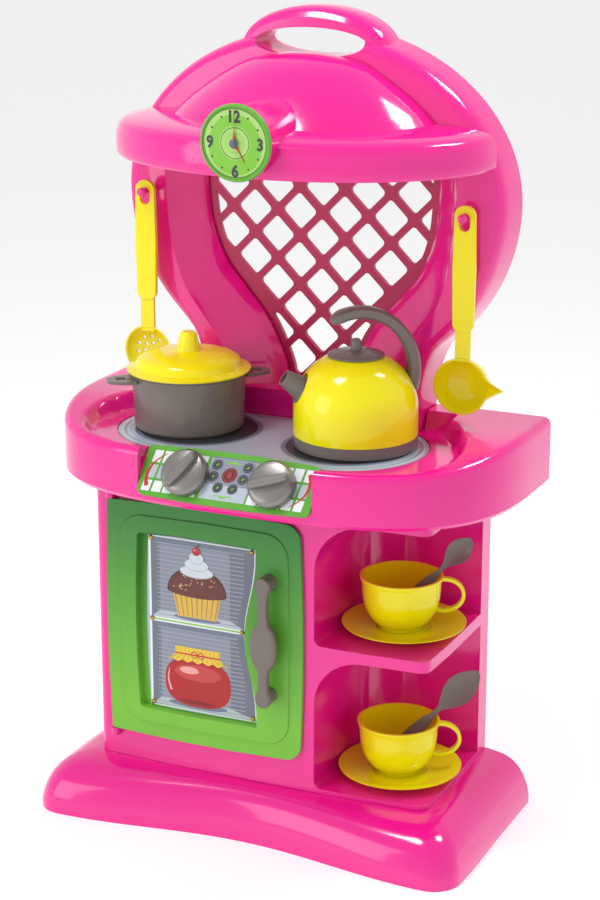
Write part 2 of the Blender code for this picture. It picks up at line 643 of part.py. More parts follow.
def ladle():
    x = PEG_X
    body, slot = utensil_handle("ladle", x, 0.527, 0.6535, 0.4966, "yellow")
    bowl_x, bowl_z, r, front = x - 0.0010, 0.4710, 0.0290, 0.0695

    def ring(size, depth, lip):
        points = []
        for u, v in circle(size, 28):
            a = abs(math.atan2(v, u))
            points.append(at(bowl_x + u + (lip * (1 - a / 0.42) ** 1.5 if a < 0.42 else 0.0), depth, bowl_z + v))
        return points
    steps = [(0.013, front - 0.0250, 0), (0.021, front - 0.0205, 0), (0.0262, front - 0.0120, 0.002),
             (0.0278, front - 0.003, 0.014), (r, front, 0.017), (r - 0.0022, front, 0.016),
             (0.0258, front - 0.003, 0.013), (0.0242, front - 0.0110, 0.001), (0.0192, front - 0.0185, 0),
             (0.0115, front - 0.0225, 0)]
    add(body, loft("ladle_bowl", [ring(*s) for s in steps], None))
    return cut(body, slot)


# ---- oven door -----------------------------------------------------------------------
def waisted(x0, x1, z0, z1, corner, waist, grow=0.0):
    """A rounded window whose right side bows inwards."""
    left = rounded([(x0 - grow, z1 + grow, corner), (x0 - grow, z0 - grow, corner), (0.0, z0 - grow, 0),
                    (0.0, z1 + grow, 0)], 3)[:-2]
    right, count = [], 10
    for k in range(count + 1):
        t = k / count
        bow = math.sin(math.pi * min(max((t - 0.06) / 0.88, 0.0), 1.0)) ** 2
        right.append((x1 + grow - waist * bow, z0 - grow + (z1 - z0 + 2 * grow) * t))
    return left + right


def door():
    front = HINGE_DEPTH + DOOR["thick"] / 2 - 0.0012
    back = front - DOOR["thick"]
    x0, x1, z0, z1 = DOOR["x0"], DOOR["x1"], DOOR["z0"], DOOR["z1"]
    origin = at(HINGE_X, HINGE_DEPTH, z0)
    body = strip("oven_door", rounded([(x0, z0, 0.002), (x1, z0, 0.018), (x1, z1, 0.018), (x0, z1, 0.002)], 4),
                 back, front, "green", origin)
    raised = [rounded([(-0.151 - g, 0.1015 - g, 0.026), (0.0395 + g, 0.1015 - g, 0.026),
                       (0.0395 + g, 0.3290 + g, 0.026), (-0.151 - g, 0.3290 + g, 0.026)], 6) for g in (0.001, 0.0)]
    add(body, loft("door_raised", [[at(x, d, z) for x, z in outline] for outline, d in
                                   zip(raised, (front - 0.001, front + 0.0014))], None))
    tray = waisted(-0.1350, 0.0075, 0.1135, 0.3145, 0.008, 0.012)
    add(body, strip("door_tray", tray, back - 0.0060, back + 0.002, None, (0, 0, 0)))
    window = [waisted(-0.1310, 0.0035, 0.1175, 0.3105, 0.005, 0.013, g) for g in (0.0, 0.0, 0.001)]
    cut(body, loft("window_recess", [[at(x, d, z) for x, z in outline] for outline, d in
                                     zip(window, (front - 0.0080, front - 0.001, front + 0.004))], None))
    for z, w in ((z0, -1), (z1, 1)):
        cut(body, cylinder(f"pin_hole_{z:.3f}", at(HINGE_X, HINGE_DEPTH, z + 0.01 * w),
                           at(HINGE_X, HINGE_DEPTH, z - 0.008 * w), 0.0021, None, 12))
    card = waisted(-0.1225, 0.0005, 0.1188, 0.3072, 0.002, 0.0125)
    strip("door_picture", card, front - 0.0080 + GAP, front - 0.0068, "print", origin)
    number = 0
    for z, right in ((0.1225, -0.0035), (0.2160, -0.0155), (0.3045, -0.0035)):
        for x in (-0.1190, right):
            number += 1
            rings = [[at(x + u, d, z + v) for u, v in circle(r, 10)] for r, d in
                     ((0.0026, front - 0.0068 + GAP), (0.0024, front - 0.0056), (0.0012, front - 0.0046))]
            loft(f"door_rivet_{number}", rings, "brass", at(x, front, z))
    return front + 0.0014


def door_handle(front):
    """A bar on two round posts, with a broad oval in its middle."""
    x, low, high = 0.0190, 0.1570, 0.2790
    middle, near, far = (low + high) / 2 - 0.005, front + 0.0115, front + 0.0180
    half = [(0.0088 * math.sin(a), low - 0.0088 * math.cos(a)) for a in (math.pi * k / 8 for k in range(6))]
    half += [(0.0056, low + 0.0095), (0.0050, middle - 0.034), (0.0056, middle - 0.0275)]
    half += [(0.0145 * math.cos(a), middle + 0.0270 * math.sin(a)) for a in
             (math.radians(-62 + 124 * k / 8) for k in range(9))]
    half += [(0.0056, middle + 0.0275), (0.0050, middle + 0.034), (0.0056, high - 0.0095)]
    half += [(0.0088 * math.sin(a), high - 0.0088 * math.cos(a)) for a in (math.pi * k / 8 for k in range(3, 9))]
    outline = both_sides(half)
    rings = []
    for d, inset in ((near, 0.0), (far - 0.0018, 0.0), (far, 0.0018)):
        rings.append([at(x + u * (1 - inset / 0.0095), d, v) for u, v in outline])
    body = loft("door_handle", rings, "grey", at(x, front, low))
    for z in (low, high):
        add(body, loft(f"handle_post_{z:.3f}", [[at(x + u, d, z + v) for u, v in circle(r, 16)] for r, d in
                                                ((0.0088, front + GAP), (0.0078, front + 0.004),
                                                 (0.0078, near + 0.001))], None))
    return body


def hinges():
    z0, z1 = DOOR["z0"], DOOR["z1"]
    for name, z, w in (("lower", z0, -1), ("upper", z1, 1)):
        edge = z + 0.0006 * w
        outline = rounded([(HINGE_X - 0.0045, REAR - CABINET_DEPTH - GAP, 0),
                           (HINGE_X + 0.0045, REAR - CABINET_DEPTH - GAP, 0),
                           (HINGE_X + 0.0045, REAR - HINGE_DEPTH - 0.004, 0.0042),
                           (HINGE_X - 0.0045, REAR - HINGE_DEPTH - 0.004, 0.0042)], 3)
        ends = sorted((edge, edge + 0.008 * w))
        bracket = prism(f"hinge_socket_{name}", outline, ends[0], ends[1], "pink")
        cut(bracket, cylinder(f"socket_hole_{name}", at(HINGE_X, HINGE_DEPTH, edge - 0.01 * w),
                              at(HINGE_X, HINGE_DEPTH, edge + 0.006 * w), 0.0020, None, 12))
        cylinder(f"hinge_pin_{name}", at(HINGE_X, HINGE_DEPTH, edge + 0.0055 * w),
                 at(HINGE_X, HINGE_DEPTH, edge - 0.0075 * w), 0.0016, "steel", 12)


# ---- pot and kettle ------------------------------------------------------------------
def pot():
    base = WELL + 0.0018 + GAP
    centre = at(POT[0], POT[1], base)
    body = turned("pot", [(0.054, 0.0), (0.0565, 0.003), (0.0585, 0.057), (0.0600, 0.0585), (0.0600, 0.060),
                          (0.0565, 0.060), (0.0540, 0.004)], centre, "grey", 32)
    for side in (-1, 1):
        ear = [(0.0572, -0.017), (0.074, -0.014), (0.084, -0.008), (0.086, 0.0), (0.084, 0.008), (0.074, 0.014),
               (0.0572, 0.017)]
        angle = math.radians(40)
        turn = Matrix.Rotation(angle, 2)
        points = [turn @ Vector((side * u, v)) for u, v in ear]
        rings = [[centre + Vector((p.x, p.y, z)) for p in points] for z in (0.0510, 0.0540)]
        add(body, loft(f"pot_ear_{side}", rings, None))
        hole = [turn @ Vector((side * u, v)) for u, v in ((0.066, -0.006), (0.076, -0.006), (0.076, 0.006), (0.066, 0.006))]
        cut(body, loft(f"pot_ear_hole_{side}", [[centre + Vector((p.x, p.y, z)) for p in hole] for z in (0.045, 0.060)],
                       None))
    top = centre + Vector((0, 0, 0.060 + GAP))
    lid = turned("pot_lid", [(0.0540, -0.004), (0.0548, 0.0), (0.0635, 0.0), (0.0640, 0.0016), (0.0560, 0.0045),
                             (0.0520, 0.0120), (0.044, 0.0158), (0.024, 0.0190), (0.0125, 0.0195), (0.0085, 0.0370),
                             (0.0065, 0.0390)][::-1] + [(0.0515, -0.004), (0.0500, 0.0100), (0.042, 0.0135),
                                                        (0.020, 0.0162)], top, "yellow", 32)
    return body, lid


def kettle():
    base = WELL + 0.0018 + GAP
    c = at(KETTLE[0], KETTLE[1], base)
    ring = turned("kettle_base", [(0.0600, 0.0), (0.0622, 0.002), (0.0626, 0.0130), (0.0560, 0.0130),
                                  (0.0555, 0.002)], c, "grey", 32)
    wide, tall, middle = 0.0626, 0.0583, 0.0400
    arc = [math.radians(a) for a in (0, 11, 22, 33, 44, 54, 61)]
    dome = [(wide, 0.0133)] + [(wide * math.cos(a), middle + tall * math.sin(a)) for a in arc]
    dome += [(0.0262, 0.0925), (0.0262, 0.0895)]
    dome += [((wide - 0.0035) * math.cos(a), middle + (tall - 0.0035) * math.sin(a)) for a in reversed(arc[:-1])]
    dome += [(wide - 0.0035, 0.0165), (0.0580, 0.0165), (0.0580, 0.0133)]
    rings = [[c + Vector((x, y, z)) for x, y in circle(r, 32)] for r, z in dome]
    body = loft("kettle_body", rings, "yellow", c, ring_closed=True)
    turned("kettle_lid", [(0.0240, 0.0865), (0.0245, 0.0929), (0.0285, 0.0929), (0.0285, 0.0942), (0.0230, 0.0962),
                          (0.0110, 0.0978), (0.0056, 0.0990), (0.0046, 0.1080), (0.0032, 0.1098)], c, "grey", 28)
    spin = Matrix.Rotation(KETTLE_TURN, 3, "Z")
    axis = spin @ Vector((-0.830, 0, 0.558))
    root = c + spin @ Vector((-0.0520, 0, 0.0590))
    turn = axis.to_track_quat("Z", "Y").to_matrix()
    tube = [(0.0115, -0.006), (0.0150, -0.002), (0.0153, 0.0035), (0.0120, 0.0050), (0.0083, 0.0250),
            (0.0066, 0.0250), (0.0090, -0.006)]
    rings = [[root + turn @ Vector((x, y, z)) for x, y in circle(r, 20)] for r, z in tube]
    loft("kettle_spout", rings, "grey", root, ring_closed=True)
    cut(body, cylinder("spout_seat", root - axis * 0.03, root + axis * 0.05, 0.0156, None, 20))
    path = []
    for k in range(17):
        a = math.radians(-19 + 141 * k / 16)
        path.append((0.0037 + 0.0545 * math.cos(a), 0.0770 + 0.0595 * math.sin(a)))
    rings = []
    for i, (x, z) in enumerate(path):
        before, after = path[max(i - 1, 0)], path[min(i + 1, len(path) - 1)]
        along = Vector((after[0] - before[0], 0, after[1] - before[1])).normalized()
        out = Vector((along.z, 0, -along.x))
        s = i / (len(path) - 1)
        half_wide = 0.0100 - 0.0020 * s if i < 16 else 0.0050
        half_thick = 0.0068 - 0.0012 * s if i < 16 else 0.0030
        rings.append([c + spin @ (Vector((x, 0, z)) + out * half_thick * u + Vector((0, half_wide * v, 0)))
                      for u, v in ((1, 0.6), (0.6, 1), (-0.6, 1), (-1, 0.6), (-1, -0.6), (-0.6, -1), (0.6, -1),
                                   (1, -0.6))])
    handle = loft("kettle_handle", rings, "grey", c)
    trim = [(wide + GAP, 0.0)] + [((wide + GAP) * math.cos(a), middle + (tall + GAP) * math.sin(a)) for a in arc]
    cut(handle, loft("handle_trim", [[c + Vector((x, y, z)) for x, y in circle(r, 32)] for r, z in trim], None))


# ---- cups ----------------------------------------------------------------------------
def cup_set(level, shift, rim_way, foot, bowl):
    """Saucer, cup and spoon of one niche. The spoon leans on the rim towards rim_way."""
    floor = FLOORS[level] + GAP
    centre = at(*SAUCERS[level], floor)
    turned("saucer_" + level, [(0.034, 0.0), (0.040, 0.0020), (0.058, 0.0072), (0.0636, 0.0090), (0.0640, 0.0102),
                               (0.0570, 0.0090), (0.040, 0.0047), (0.0285, 0.0042), (0.0270, 0.0030)],
           centre, "yellow", 32)
    seat = centre + Vector((shift, 0, 0.0030 + GAP))
    cup = turned("cup_" + level, [(0.0220, 0.0), (0.0230, 0.0030), (0.0290, 0.0080), (0.0365, 0.0200), (0.0398, 0.0340),
                                  (0.0413, 0.0500), (0.0428, 0.0545), (0.0428, 0.0560), (0.0400, 0.0560),
                                  (0.0378, 0.0350), (0.0345, 0.0210), (0.0270, 0.0100), (0.0220, 0.0080)],
                 seat, "yellow", 32)
    rings, turn = [], Matrix.Rotation(math.radians(24), 3, "Z")
    count = 12
    for k in range(count + 1):
        a = math.radians(-122 + 226 * k / count)
        spine = Vector((0.0435 + 0.0200 * math.cos(a), 0, 0.0345 + 0.0170 * math.sin(a)))
        out = Vector((math.cos(a), 0, math.sin(a)))
        rings.append([seat + turn @ (spine + out * u + Vector((0, v, 0))) for u, v in
                      ((0.0018, 0.0032), (-0.0018, 0.0032), (-0.0018, -0.0032), (0.0018, -0.0032))])
    add(cup, loft("cup_loop_" + level, rings, None))
    cut(cup, loft("cup_room_" + level, [[seat + Vector((x, y, z)) for x, y in circle(r, 32)] for r, z in
                                        ((0.0219, 0.0082), (0.0268, 0.0102), (0.0343, 0.0212), (0.0376, 0.0352),
                                         (0.0398, 0.0600))], None))
    spoon(level, seat, rim_way, foot, bowl)


def spoon(level, seat, rim_way, foot, bowl):
    """A spoon leaning in the cup: its handle end low inside, its bowl up beyond the rim."""
    low = seat + Vector(foot)
    rim = seat + Vector((0.0405 * math.cos(rim_way), 0.0405 * math.sin(rim_way), 0.0618))
    axis = (rim - low).normalized()
    seen = Vector((0.40, -0.87, 0.29))
    normal = (seen - axis * seen.dot(axis)).normalized()
    flat = axis.cross(normal).normalized()
    neck = (rim - low).length
    half, long = bowl
    end = neck + 0.007 + long
    stations = [(0.0, 0.0050, 0), (0.004, 0.0058, 0), (neck - 0.013, 0.0052, 0), (neck - 0.008, 0.0030, 0),
                (neck + 0.004, 0.0028, 0.0004)]
    for k in range(1, 8):
        t = k / 8
        stations.append((neck + 0.007 + long * t, half * math.sin(math.pi * t) ** 0.62, 0.0045 * math.sin(math.pi * t)))
    stations.append((end, half * 0.18, 0.0004))
    rings = []
    for s, wide, dip in stations:
        middle = low + axis * s
        top, under = [], []
        for u in (-1, -0.55, 0, 0.55, 1):
            sag = -dip * (1 - u * u)
            top.append(middle + flat * wide * u + normal * (sag + 0.0009))
            under.append(middle + flat * wide * u + normal * (sag - 0.0009))
        rings.append(top + under[::-1])
    return loft("spoon_" + level, rings, "grey", low)


# ---- build ---------------------------------------------------------------------------
def main():
    clear_scene()
    plinth()
    cabinet()
    back_panel()
    worktop()
    hob_plate()
    control_panel()
    knob(-1, "knob_left", math.radians(58))
    knob(1, "knob_right", math.radians(20))
    backboard()
    lattice()
    hood()
    clock()
    pegs()
    skimmer()
    ladle()
    door_handle(door())
    hinges()
    pot()
    kettle()
    cup_set("upper", -0.0032, math.radians(25), (-0.004, -0.006, 0.0125), (0.0120, 0.036))
    cup_set("lower", -0.0020, math.radians(35), (-0.011, -0.008, 0.0125), (0.0155, 0.052))


main()
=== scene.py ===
"""Toy kitchen: finer pieces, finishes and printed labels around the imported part."""

import json
import math

import bmesh
import bpy
import numpy as np
from mathutils import Matrix, Vector

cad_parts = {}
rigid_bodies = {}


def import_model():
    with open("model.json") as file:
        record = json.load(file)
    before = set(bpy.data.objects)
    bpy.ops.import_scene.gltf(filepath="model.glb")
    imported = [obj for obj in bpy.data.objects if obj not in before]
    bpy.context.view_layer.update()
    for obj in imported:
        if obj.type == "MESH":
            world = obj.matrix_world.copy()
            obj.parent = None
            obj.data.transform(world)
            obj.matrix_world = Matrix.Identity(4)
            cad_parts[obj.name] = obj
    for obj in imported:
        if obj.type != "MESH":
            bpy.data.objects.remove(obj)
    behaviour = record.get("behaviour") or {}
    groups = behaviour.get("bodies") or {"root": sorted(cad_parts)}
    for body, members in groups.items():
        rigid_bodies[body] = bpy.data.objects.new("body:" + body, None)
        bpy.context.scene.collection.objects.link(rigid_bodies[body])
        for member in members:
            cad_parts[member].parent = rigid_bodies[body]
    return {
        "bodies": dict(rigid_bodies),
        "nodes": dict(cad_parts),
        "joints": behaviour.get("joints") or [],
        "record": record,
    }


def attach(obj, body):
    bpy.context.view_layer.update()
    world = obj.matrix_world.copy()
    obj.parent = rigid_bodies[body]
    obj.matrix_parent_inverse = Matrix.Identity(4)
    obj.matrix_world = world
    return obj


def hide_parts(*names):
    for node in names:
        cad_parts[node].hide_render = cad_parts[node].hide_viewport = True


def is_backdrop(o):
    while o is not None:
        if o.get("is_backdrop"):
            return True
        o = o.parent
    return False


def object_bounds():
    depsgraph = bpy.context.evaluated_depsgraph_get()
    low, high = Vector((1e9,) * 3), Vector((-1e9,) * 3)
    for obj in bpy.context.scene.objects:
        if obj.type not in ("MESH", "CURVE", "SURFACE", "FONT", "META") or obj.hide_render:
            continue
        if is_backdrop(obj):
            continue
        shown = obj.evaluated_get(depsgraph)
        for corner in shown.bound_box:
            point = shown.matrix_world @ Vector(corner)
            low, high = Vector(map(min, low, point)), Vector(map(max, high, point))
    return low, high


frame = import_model()
CAD_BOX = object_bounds()
MADE = {}


# ---- driving dimensions --------------------------------------------------------------
REAR = 0.1247  # y of the flat back
GAP = 0.0003  # between touching pieces
WALL = 0.0035  # moulded wall
TURNS = 96  # sides of a turned piece

PLINTH_HALF, PLINTH_DEPTH, PLINTH_WAIST, PLINTH_TOP = 0.238, 0.235, 0.213, 0.054
CABINET_HALF, CABINET_DEPTH, CABINET_TOP = 0.187, 0.176, 0.4050
OVEN = dict(x0=-0.158, x1=0.046, z0=0.094, z1=0.334, back=0.022)
NICHE_LEFT, NICHE_BACK, SHELF_UNDER = 0.066, 0.024, 0.203
FLOORS = {"lower": 0.0590, "upper": 0.2158}
CEILINGS = {"lower": SHELF_UNDER, "upper": 0.346}
WORKTOP_HALF, WORKTOP_DEPTH, WORKTOP_LOW, WORKTOP_TOP = 0.249, 0.2355, 0.361, 0.430
FRONT_DROP = 0.0140  # fall of the top towards its front edge
WELL = 0.4095  # height of the sunk middle of the worktop
FLUSH = WELL + 0.0022  # height of the top around it
HOB_X, HOB_Y, HOB_R, HOB_MID = 0.0825, 0.1240, 0.083, -0.0065
PANEL = dict(x=-0.008, depth=0.2205, z=0.3915, width=0.188, height=0.053, thick=0.003)
PANEL_TILT = math.radians(36)
KNOB_STEP, KNOB_R = 0.0475, 0.0240
DISC_HALF, DISC_MID, DISC_UP, DISC_DOWN = 0.212, 0.645, 0.170, 0.196
DISC_DEPTH, NECK_HALF, TOP = 0.052, 0.125, 0.835
HOOD_LOW, HOOD_HIGH = 0.688, 0.718
CLOCK = dict(z=0.724, r=0.0371, front=0.2170)
GRID, GRID_TOP, RIB = 0.0255, 0.6234, 0.0078
LATTICE_DEPTH, LATTICE_THICK = 0.012, 0.006
PEG_X, PEG_Z, PEG_R = 0.177, 0.640, 0.0036
PEG_LIFT = 0.0019  # of a peg above the middle of the round end of a slot
DOOR = dict(x0=-0.166, x1=0.053, z0=0.087, z1=0.342, thick=0.007)
HINGE_X, HINGE_DEPTH = -0.1640, 0.1815
POT = (-0.1025, 0.1195)
KETTLE, KETTLE_TURN = (0.0825, 0.1155), math.radians(34)
SAUCERS = {"lower": (0.1313, 0.106), "upper": (0.1313, 0.100)}


def at(x, depth, z):
    """A point given by its depth in front of the flat back."""
    return Vector((x, REAR - depth, z))


# ---- tools ---------------------------------------------------------------------------
def refined(rings, steps, closed, limit=32):
    """Points along the first axis of rings, with curved steps where they turn gently."""
    a = np.array(rings, float)
    forward = np.roll(a, -1, 0) - a
    length = np.linalg.norm(forward, axis=-1, keepdims=True)
    ahead = forward / np.maximum(length, 1e-9)
    behind = np.roll(ahead, 1, 0)
    smooth = (ahead * behind).sum(-1, keepdims=True) > math.cos(math.radians(limit))
    if not closed:
        smooth[0] = smooth[-1] = False
    mean = ahead + behind
    mean /= np.maximum(np.linalg.norm(mean, axis=-1, keepdims=True), 1e-9)
    leave = np.where(smooth, mean, ahead) * length
    arrive = np.where(np.roll(smooth, -1, 0), np.roll(mean, -1, 0), ahead) * length
    after, out = np.roll(a, -1, 0), []
    for i in range(len(a) if closed else len(a) - 1):
        for k in range(steps):
            s = k / steps
            out.append((2 * s ** 3 - 3 * s ** 2 + 1) * a[i] + (s ** 3 - 2 * s ** 2 + s) * leave[i]
                       + (3 * s ** 2 - 2 * s ** 3) * after[i] + (s ** 3 - s ** 2) * arrive[i])
    if not closed:
        out.append(a[-1])
    return np.array(out)


def sharpen(thing):
    thing.data.shade_smooth()
    thing.data.set_sharp_from_angle(angle=math.radians(35))


def finish_mesh(name, bm, colour):
    bmesh.ops.remove_doubles(bm, verts=bm.verts, dist=1e-7)
    bmesh.ops.recalc_face_normals(bm, faces=bm.faces)
    mesh = bpy.data.meshes.new("v_" + name)
    bm.to_mesh(mesh)
    bm.free()
    made = bpy.data.objects.new("v_" + name, mesh)
    bpy.context.scene.collection.objects.link(made)
    sharpen(made)
    if colour:
        MADE[name] = made
    return made


def loft(name, rings, colour, ring_closed=False, along=None, across=None):
    """One closed skin through rings of equal length; its ends are capped, or meet."""
    a = np.array([[tuple(p) for p in ring] for ring in rings], float)
    along = along or max(1, min(4, 110 // a.shape[1]))
    across = across or (3 if a.shape[0] > 2 else 1)
    if along > 1:
        a = refined(a.swapaxes(0, 1), along, True).swapaxes(0, 1)
    if across > 1:
        a = refined(a, across, ring_closed)
    bm = bmesh.new()
    loops = [[bm.verts.new(p) for p in ring] for ring in a]
    count = len(loops[0])
    pairs = list(zip(loops, loops[1:]))
    if ring_closed:
        pairs.append((loops[-1], loops[0]))
    else:
        bm.faces.new(list(reversed(loops[0])))
        bm.faces.new(loops[-1])
    for p, q in pairs:
        for i in range(count):
            j = (i + 1) % count
            bm.faces.new((p[i], p[j], q[j], q[i]))
    return finish_mesh(name, bm, colour)


def combine(target, other, operation):
    """Adds, cuts or trims at once, and removes the other shape."""
    made = target.modifiers.new(operation.lower(), "BOOLEAN")
    made.operation, made.object, made.solver = operation, other, "EXACT"
    bpy.context.view_layer.update()
    found = target.evaluated_get(bpy.context.evaluated_depsgraph_get())
    mesh = bpy.data.meshes.new_from_object(found)
    target.modifiers.clear()
    old = target.data
    target.data = mesh
    bpy.data.meshes.remove(old)
    bpy.data.objects.remove(other, do_unlink=True)
    sharpen(target)
    return target


def circle(radius, count=TURNS, start=0.0):
    count = max(count, min(96, count * 3)) if count > 9 else count * 2
    return [(radius * math.cos(start + 2 * math.pi * i / count),
             radius * math.sin(start + 2 * math.pi * i / count)) for i in range(count)]


def turned(name, profile, centre, colour, count=TURNS):
    """A piece turned about the vertical through centre, from a list of (radius, height)."""
    return loft(name, rings_up(centre, profile, count), colour)


def rings_up(centre, profile, count):
    """Level circles above centre, from a list of (radius, height)."""
    return [[centre + Vector((x, y, z)) for x, y in circle(r, count)] for r, z in profile]


def rings_out(x, z, profile, count):
    """Upright circles round (x, z), from a list of (radius, depth)."""
    return [[at(x + u, depth, z + v) for u, v in circle(r, count)] for r, depth in profile]


def rounded(corners, steps=5):
    """Outline through (x, y, radius) corners, each rounded by an arc."""
    points, steps = [], steps * 2
    for i, (x, y, radius) in enumerate(corners):
        here = Vector((x, y))
        before = Vector(corners[i - 1][:2]) - here
        after = Vector(corners[(i + 1) % len(corners)][:2]) - here
        if radius <= 0:
            points.append((x, y))
            continue
        before.normalize()
        after.normalize()
        half = before.angle(after) / 2
        reach = radius / math.tan(half)
        centre = here + (before + after).normalized() * (radius / math.sin(half))
        a, b = here + before * reach - centre, here + after * reach - centre
        turn = a.angle_signed(b)
        for k in range(steps + 1):
            arm = a.copy()
            arm.rotate(Matrix.Rotation(-turn * k / steps, 2))
            points.append(tuple(centre + arm))
    return points


def prism(name, outline, low, high, colour, axis="z"):
    """An outline in the plane across an axis, drawn out from low to high along it."""
    def place(u, v, w):
        return {"x": (w, u, v), "y": (u, w, v), "z": (u, v, w)}[axis]
    rings = [[Vector(place(u, v, w)) for u, v in outline] for w in (low, high)]
    return loft(name, rings, colour)


def box(name, low, high, colour):
    (x0, y0, z0), (x1, y1, z1) = low, high
    outline = [(x0, y0), (x1, y0), (x1, y1), (x0, y1)]
    return prism(name, outline, z0, z1, colour)


def cylinder(name, start, end, radius, colour, count=16):
    start, end = Vector(start), Vector(end)
    turn = (end - start).to_track_quat("Z", "Y").to_matrix()
    rings = []
    for centre in (start, end):
        rings.append([centre + turn @ Vector((x, y, 0)) for x, y in circle(radius, count)])
    return loft(name, rings, colour)


def cut(target, other):
    return combine(target, other, "DIFFERENCE")


def add(target, other):
    return combine(target, other, "UNION")


def mirrored(points):
    """The outline of a right half, from rear to front, closed by its mirror image."""
    left = [(-x, y) for x, y in reversed(points) if abs(x) > 1e-6]
    return points + left


# ---- plinth --------------------------------------------------------------------------
def plinth_outline(t):
    """The plinth's outline: t = 0 at the floor, t = 1 drawn in to the cabinet."""
    corner = 0.030
    outer, inner = [], []
    x_side = PLINTH_HALF
    outer += [(x_side, 0.0), (x_side, (PLINTH_DEPTH - corner) / 2), (x_side, PLINTH_DEPTH - corner)]
    for k in range(1, 7):
        a = math.pi / 2 * k / 6
        outer.append((x_side - corner + corner * math.cos(a),
                      PLINTH_DEPTH - corner + corner * math.sin(a)))
    for k in range(1, 9):
        s = 1 - k / 8
        swing = (1 - math.cos(math.pi * s)) / 2
        outer.append(((x_side - corner) * s, PLINTH_WAIST + (PLINTH_DEPTH - PLINTH_WAIST) * swing))
    half, depth, small = CABINET_HALF + 0.003, CABINET_DEPTH + 0.003, 0.014
    inner += [(half, 0.0), (half, (depth - small) / 2), (half, depth - small)]
    for k in range(1, 7):
        a = math.pi / 2 * k / 6
        inner.append((half - small + small * math.cos(a), depth - small + small * math.sin(a)))
    for k in range(1, 9):
        inner.append(((half - small) * (1 - k / 8), depth))
    return [(a[0] + t * (b[0] - a[0]), a[1] + t * (b[1] - a[1])) for a, b in zip(outer, inner)]


def ring_at(outline, z, back=0.0):
    """A mirrored half outline at a height, its rear edge a little in front of the back."""
    full = mirrored(outline)
    return [at(x, max(depth, back), z) for x, depth in full]


def plinth():
    flare = [(1.0, PLINTH_TOP), (0.80, 0.0525), (0.58, 0.050), (0.36, 0.044), (0.18, 0.034),
             (0.06, 0.021), (0.0, 0.007), (0.0, 0.0)]
    rings = [ring_at(plinth_outline(t), z) for t, z in flare]
    for t, z in reversed(flare):
        pulled = [(x * (1 - WALL / 0.2), d * (1 - WALL / 0.2)) for x, d in plinth_outline(t)]
        rings.append(ring_at(pulled, max(z - WALL, 0.0), WALL))
    return loft("base_plinth", rings, "pink")


# ---- cabinet -------------------------------------------------------------------------
def cabinet_outline(inset=0.0):
    corner = 0.012 - inset
    half, depth = CABINET_HALF - inset, CABINET_DEPTH - inset
    return rounded([(half, REAR, 0), (-half, REAR, 0), (-half, REAR - depth, corner),
                    (half, REAR - depth, corner)], 4)


def niche_space(name, floor, ceiling, grow):
    """Room of one niche: open to the front and to the right, its top left corner arched."""
    big, small = 0.052 + grow, 0.008 + grow
    left, back = NICHE_LEFT - grow, NICHE_BACK - grow
    z0, z1, far = floor - grow, ceiling + grow, 0.215
    front = rounded([(far, z0, 0), (far, z1, 0), (left, z1, big), (left, z0, small)], 7)
    plan = rounded([(far, REAR - 0.20, 0), (far, REAR - back, 0), (left, REAR - back, 0.040 + grow),
                    (left, REAR - 0.20, 0)], 6)
    space = prism(name, front, REAR - 0.199, REAR - back, None, "y")
    limit = prism(name + "_plan", plan, z0 - 0.01, z1 + 0.01, None, "z")
    return combine(space, limit, "INTERSECT")


def cabinet():
    z0, z1 = PLINTH_TOP + GAP, CABINET_TOP
    body = prism("cabinet", cabinet_outline(), z0, z1, "pink")
    inner = [(x, y + (0.05 if y > REAR - 0.01 else 0)) for x, y in cabinet_outline(WALL)]
    cut(body, prism("cabinet_room", inner, z0 + WALL, z1 + 0.02, None))
    lining = OVEN["z0"] - WALL, OVEN["z1"] + WALL
    oven = box("oven_lining", (OVEN["x0"] - WALL, REAR - CABINET_DEPTH + 0.001, lining[0]),
               (OVEN["x1"] + WALL, REAR - OVEN["back"] + WALL, lining[1]), None)
    add(body, oven)
    for level, floor in FLOORS.items():
        hull = niche_space("niche_lining_" + level, floor, CEILINGS[level], WALL)
        trim = prism("niche_trim_" + level, cabinet_outline(), z0, z1 - 0.02, None)
        add(body, combine(hull, trim, "INTERSECT"))
    cut(body, box("oven_room", (OVEN["x0"], REAR - CABINET_DEPTH - 0.02, OVEN["z0"]),
                  (OVEN["x1"], REAR - OVEN["back"], OVEN["z1"]), None))
    for level, floor in FLOORS.items():
        cut(body, niche_space("niche_room_" + level, floor, CEILINGS[level], 0.0))
    return body


def back_panel():
    half = CABINET_HALF - WALL - GAP
    low, high = PLINTH_TOP + WALL + 2 * GAP, CABINET_TOP - 0.004
    panel = box("back_panel", (-half, REAR - 0.0035, low), (half, REAR - 0.001, high), "pink")
    for i, (sx, z) in enumerate(((-1, low + 0.03), (1, low + 0.03), (-1, high - 0.03), (1,
            high - 0.03))):
        x = sx * (half - 0.015)
        shank = cylinder(f"screw_room_{i + 1}", (x, REAR - 0.02, z), (x, REAR + 0.02, z), 0.0021,
                None, 12)
        cut(panel, shank)
        rings = [[Vector((x + u, REAR - 0.0007 + GAP + (w + 0.0001), z + v)) for u, v in circle(r,
                12)]
                 for r, w in [(0.0017, -0.009), (0.0017, -0.0001), (0.0036, 0.0), (0.0030, 0.0002)]]
        loft(f"back_screw_{i + 1}", rings, "steel")
    return panel


# ---- worktop -------------------------------------------------------------------------
def worktop_outline(inset=0.0):
    """Right half of the worktop's outline, from rear to front."""
    half, depth, power = WORKTOP_HALF - inset, WORKTOP_DEPTH - inset, 3.1
    straight, points = 0.030, []
    points.append((half, 0.0))
    for k in range(0, 13):
        a = math.pi / 2 * k / 12
        x = half * math.cos(a) ** (2 / power)
        points.append((max(x, 0.0), straight + (depth - straight) * math.sin(a) ** (2 / power)))
    return points


